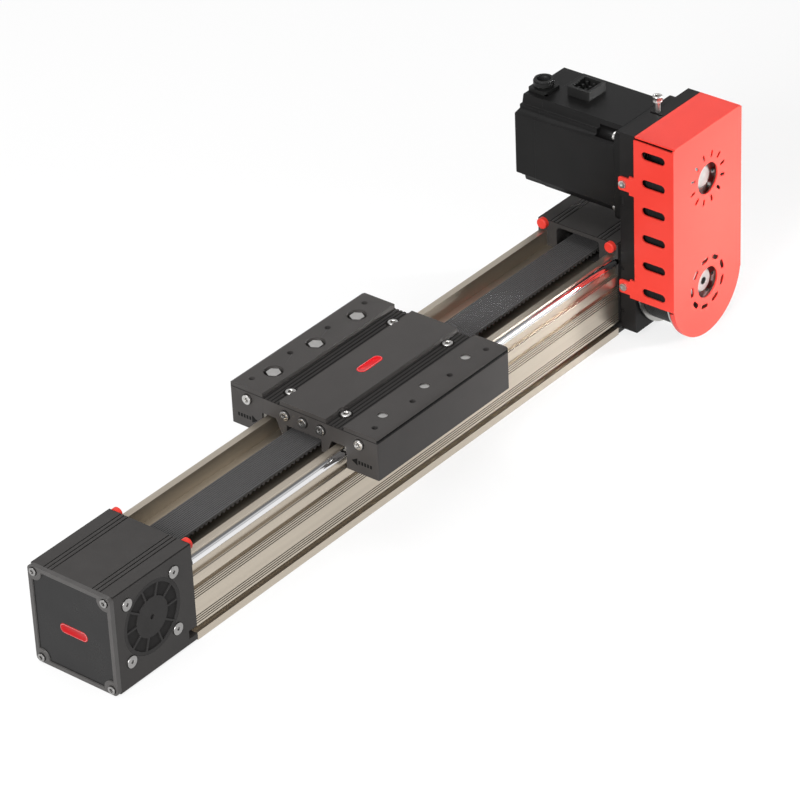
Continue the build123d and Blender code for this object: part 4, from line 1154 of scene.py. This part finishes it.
@dataclass
class PhotoCamera:
    """Camera solved from the photograph."""

    focal_px: float = 4026.1
    image_px: float = 800.0
    position: Point = (-1996.05 * MM, -1704.2 * MM, 1718.3 * MM)
    right: Point = (0.6245, -0.7801, -0.0390)
    down: Point = (-0.4385, -0.3088, -0.8440)
    sensor: float = 36.0
    far_limit: float = 50.0

    def build(self) -> None:
        """Adds the camera and makes it the scene's own."""
        data = bpy.data.cameras.new("photo_camera")
        data.sensor_fit = "AUTO"
        data.sensor_width = self.sensor
        data.lens = self.focal_px * data.sensor_width / self.image_px
        data.clip_end = self.far_limit
        camera = bpy.data.objects.new("photo_camera", data)
        bpy.context.scene.collection.objects.link(camera)
        x_axis = Vector(self.right).normalized()
        y_axis = -Vector(self.down)
        y_axis = (y_axis - x_axis * y_axis.dot(x_axis)).normalized()
        z_axis = x_axis.cross(y_axis)
        turn = Matrix((x_axis, y_axis, z_axis)).transposed().to_4x4()
        camera.matrix_world = Matrix.Translation(self.position) @ turn
        bpy.context.scene.camera = camera


@dataclass(frozen=True)
class Lamp:
    """One soft square lamp: its place, the point it faces, its edge, watts and fan in degrees."""

    name: str
    place: Point
    aim: Point
    size: float
    power: float
    spread: float = 180.0

    def hang(self) -> None:
        """Adds the lamp to the scene."""
        data = bpy.data.lights.new(self.name, "AREA")
        data.spread = math.radians(self.spread)
        data.shape = "SQUARE"
        data.size = self.size
        data.energy = self.power
        lamp = bpy.data.objects.new(self.name, data)
        lamp.visible_camera = False
        bpy.context.scene.collection.objects.link(lamp)
        turn = (Vector(self.aim) - Vector(self.place)).to_track_quat("-Z", "Y")
        lamp.matrix_world = Matrix.Translation(self.place) @ turn.to_matrix().to_4x4()


@dataclass
class Studio:
    """White room: a floor that keeps the shadow, a graded surround and soft lamps."""

    floor_level: float = -0.4 * MM
    floor_reach: float = 6.0
    surround: float = 0.42
    bounce: float = 0.38
    matt: float = 0.92
    glow_share: float = 0.76
    light_grade: tuple[tuple[float, Point], ...] = ((0.35, (0.30, 0.30, 0.31)), (0.75, (1.0, 1.0, 1.0)))
    sky_grade: tuple[tuple[float, Point], ...] = (
        (0.60, (1.0, 1.0, 1.0)),
        (0.68, (0.40, 0.40, 0.40)),
        (0.78, (0.85, 0.85, 0.86)),
        (0.88, (0.16, 0.16, 0.16)),
        (1.0, (0.55, 0.55, 0.56)),
    )
    lamps: tuple[Lamp, ...] = (
        Lamp("key_idler_end", (-2.2, -0.50, 1.15), (0.0, 0.0, 0.05), size=1.0, power=66.0),
        Lamp("cover_face", (1.0, -0.80, 0.20), (0.33, -0.09, 0.10), size=0.24, power=0.75, spread=18.0),
        Lamp("front_fill", (-0.5, -2.2, 0.7), (0.0, 0.0, 0.04), size=1.3, power=11.0),
        Lamp("ceiling", (0.2, 0.5, 2.2), (0.0, 0.0, 0.0), size=1.4, power=19.0),
    )

    def seen(self, graph: ShaderGraph) -> Value:
        """Mask of the rays that see the background: the camera's, mirrored and passed through.

        Args:
            graph: The shader.

        Returns:
            1 for those rays and 0 for the others.
        """
        ray = graph.add("ShaderNodeLightPath", {}, {})
        total = ray[CAMERA_RAY] + ray[GLOSSY_RAY] + ray[TRANSMISSION_RAY]
        return graph.add("ShaderNodeMath", {"operation": "MINIMUM"}, {0: total, 1: 1.0})[0]

    def world(self) -> None:
        """Pale backdrop that greys towards its top, and a dimmer surround as light."""
        world = bpy.data.worlds.new("studio_surround")
        bpy.context.scene.world = world
        world.use_nodes = True
        graph = ShaderGraph(world.node_tree)
        way = graph.add("ShaderNodeTexCoord", {}, {})[0]
        height = graph.add("ShaderNodeSeparateXYZ", {}, {0: way})[2] * 0.5 + 0.5
        grade = graph.add("ShaderNodeValToRGB", {"stops": self.light_grade}, {0: height})[0]
        sky = graph.add("ShaderNodeValToRGB", {"stops": self.sky_grade}, {0: height})[0]
        soft = graph.add("ShaderNodeBackground", {}, {"Color": grade, "Strength": self.surround})[0]
        pale = graph.add("ShaderNodeBackground", {}, {"Color": sky, "Strength": 1.0})[0]
        mixed = graph.add("ShaderNodeMixShader", {}, {0: self.seen(graph), 1: soft, 2: pale})[0]
        graph.add("ShaderNodeOutputWorld", {}, {"Surface": mixed})

    def floor(self) -> None:
        """Pale floor, white where it is seen and with its soft shadow, dimmer as a bounce."""
        mesh = bpy.data.meshes.new("studio_floor")
        reach = self.floor_reach
        mesh.from_pydata(
            [(-reach, -reach, self.floor_level), (reach, -reach, self.floor_level),
             (reach, reach, self.floor_level), (-reach, reach, self.floor_level)],
            [], [(0, 1, 2, 3)],
        )
        material = bpy.data.materials.new("studio_floor_white")
        material.use_nodes = True
        graph = ShaderGraph(material.node_tree)
        dim = graph.add("ShaderNodeBsdfDiffuse", {}, {"Color": (*(self.bounce,) * 3, 1.0)})[0]
        matt = graph.add("ShaderNodeBsdfDiffuse", {}, {"Color": (*(self.matt,) * 3, 1.0)})[0]
        glow = graph.add("ShaderNodeEmission", {}, {"Color": (1.0, 1.0, 1.0, 1.0), "Strength": 1.0})[0]
        white = graph.add("ShaderNodeMixShader", {}, {0: self.glow_share, 1: matt, 2: glow})[0]
        mixed = graph.add("ShaderNodeMixShader", {}, {0: self.seen(graph), 1: dim, 2: white})[0]
        graph.add("ShaderNodeOutputMaterial", {}, {"Surface": mixed})
        mesh.materials.append(material)
        new_object("studio_floor", mesh)

    def build(self) -> None:
        """Sets up world, floor, lamps and view."""
        self.world()
        self.floor()
        for lamp in self.lamps:
            lamp.hang()
        bpy.context.scene.view_settings.view_transform = "Standard"


@dataclass
class Actuator:
    """The whole actuator: which nodes are edged, which are rebuilt, which keep their form."""

    frame: dict[str, Any]
    thin_edge: float = 0.2 * MM
    cap_edge: float = 0.12 * MM
    low_head: float = 0.42
    tab_head: float = 0.45
    small_socket: float = 0.3
    shaft_inset: float = 306.25 * MM
    shaft_level: float = 47.0 * MM
    case_middle: float = -74.0 * MM
    panel_depth: float = 1.2 * MM
    carriage_middle: float = -6.0 * MM
    carriage_top: float = 93.7 * MM
    idler_face: float = -346.9 * MM
    end_capsule_level: float = 40.0 * MM
    capsule_length: float = 27.0 * MM
    capsule_width: float = 8.6 * MM
    arrow_ends: tuple[float, float] = (-86.3 * MM, 74.3 * MM)
    arrow_out: float = 51.0 * MM
    arrow_level: float = 66.5 * MM

    def slots(self) -> dict[str, str]:
        """Material slot by CAD node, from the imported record."""
        return {part["node"]: part["material_slot"] for part in self.frame["record"]["subparts"]}

    def edged(self) -> list[EdgedNode]:
        """The machined and moulded bodies whose edges are broken.

        Returns:
            One entry for each CAD node.
        """
        housing, carriage = Finish.HOUSING_BLACK, Finish.CARRIAGE_BLACK
        rim, motor = Finish.RIM_GREY, Finish.MOTOR_BLACK
        return [
            EdgedNode("idler_housing", "idler_housing_block", housing),
            EdgedNode("drive_housing", "drive_housing_block", housing),
            EdgedNode("idler_end_cover", "idler_end_plate", rim, width=self.thin_edge),
            EdgedNode("drive_end_cover", "drive_end_plate", rim, width=self.thin_edge),
            EdgedNode("idler_cap_left", "idler_cap_far", Finish.CAP_BLACK, width=self.cap_edge),
            EdgedNode("idler_cap_right", "idler_cap_near", Finish.CAP_BLACK, width=self.cap_edge),
            EdgedNode("drive_cap_left", "drive_cap_far", Finish.CAP_BLACK, width=self.cap_edge),
            EdgedNode("belt_case_plate", "belt_case_back", Finish.PLATE_BLACK),
            EdgedNode("belt_cover", "belt_cover_shell", Finish.RED_SHEET, width=self.thin_edge),
            EdgedNode("motor_flange", "motor_front_flange", motor),
            EdgedNode("motor_body", "motor_stator_case", motor),
            EdgedNode("motor_end_cap", "motor_rear_case", motor),
            EdgedNode(
                "motor_round_connector", "motor_signal_plug", Finish.BLACK_PLASTIC, width=self.thin_edge
            ),
            EdgedNode("carriage_centre", "carriage_middle_plate", carriage, "carriage"),
            EdgedNode("carriage_block_left", "carriage_far_block", carriage, "carriage"),
            EdgedNode("carriage_block_right", "carriage_near_block", carriage, "carriage"),
        ]

    def screws(self) -> list[ScrewSet]:
        """All sets of socket head screws.

        Returns:
            One entry for each CAD node.
        """
        dark, grey = Finish.DARK_STEEL, Finish.GREY_STEEL
        return [
            ScrewSet("idler_cover_screws", 0, outward=-1.0, finish=grey),
            ScrewSet("drive_cover_screws", 0, outward=1.0, finish=dark),
            *(
                ScrewSet(node, 1, head_share=self.low_head, socket=self.small_socket, finish=grey)
                for node in ("idler_side_screws", "drive_side_screws")
            ),
            ScrewSet("plate_screws", 1, outward=-1.0),
            ScrewSet("belt_cover_screws", 0, middle=self.shaft_inset, head_share=self.tab_head),
            ScrewSet("tension_screw", 2, outward=1.0),
            ScrewSet("motor_flange_screws", 1, outward=1.0),
            ScrewSet("motor_cap_screws", 1, outward=1.0, finish=dark),
            ScrewSet("carriage_channel_screws", 2, "carriage", outward=1.0),
            ScrewSet("belt_clamp_screws", 0, "carriage", middle=self.carriage_middle, finish=grey),
            ScrewSet("oil_plug_screws", 0, "carriage", middle=self.carriage_middle),
        ]

    def belts(self) -> list[ToothedBelt]:
        """The long belt in the rail and the short belt in the case.

        Returns:
            Both belts.
        """
        return [
            ToothedBelt(
                "main_toothed_belt", "main_belt", teeth=273, pitch=5.0 * MM, span=612.5 * MM,
                width=30.0 * MM, line=0.572 * MM, back=1.15 * MM, tooth=2.05 * MM, base=3.0 * MM,
                centre=(-self.shaft_inset, 0.0, self.shaft_level), upright=False,
                ribs=15, rib_height=0.45 * MM, finish=Finish.BELT,
            ),
            ToothedBelt(
                "reduction_toothed_belt", "reduction_belt", teeth=148, pitch=3.0 * MM, span=96.0 * MM,
                width=25.5 * MM, line=0.381 * MM, back=0.82 * MM, tooth=1.15 * MM, base=1.9 * MM,
                centre=(self.shaft_inset, self.case_middle, self.shaft_level), upright=True,
                ribs=12, rib_height=0.25 * MM, finish=Finish.CASE_BELT,
            ),
        ]

    def build(self) -> None:
        """Makes every piece in order."""
        slots = self.slots()
        for name, node in self.frame["nodes"].items():
            finish = NODE_FINISH.get(name, Finish.GROUND_STEEL)
            node.data.materials.clear()
            node.data.materials.append(finish.value.material())
        for piece in self.edged():
            piece.build(self.frame, slots)
        repeater = Repeater()
        for screws in self.screws():
            screws.build(self.frame, repeater)
        for belt in self.belts():
            belt.build(repeater)
        for word, node, end in (("idler", "idler_end_cover", -1.0), ("drive", "drive_end_cover", 1.0)):
            low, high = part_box(node)
            outer = high[0] if end > 0 else low[0]
            PanelSkin(f"{word}_end_panel", node, outer - end * self.panel_depth, end).build(self.frame)
        size = (self.capsule_length, self.capsule_width)
        Inlay("carriage_capsule", "carriage_inlay", "carriage",
              (self.carriage_middle, 0.0, self.carriage_top), *size, "top").build()
        Inlay("end_capsule", "end_cover_inlay", "frame",
              (self.idler_face, 0.0, self.end_capsule_level), *size, "end",
              finish=Finish.END_INLAY_PAINTED_DARKER).build()
        for side, word in ((1.0, "far"), (-1.0, "near")):
            for end, way, x in zip((-1.0, 1.0), ("idler", "drive"), self.arrow_ends):
                FlowArrow(f"flow_arrow_{word}_{way}", x, side * self.arrow_out,
                          self.arrow_level, end, -side).build(repeater)


def main() -> None:
    """Loads the frame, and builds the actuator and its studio."""
    logging.basicConfig(level=logging.INFO, format="%(message)s")
    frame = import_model()
    Actuator(frame).build()
    Studio().build()
    PhotoCamera().build()


if __name__ == "__main__":
    main()
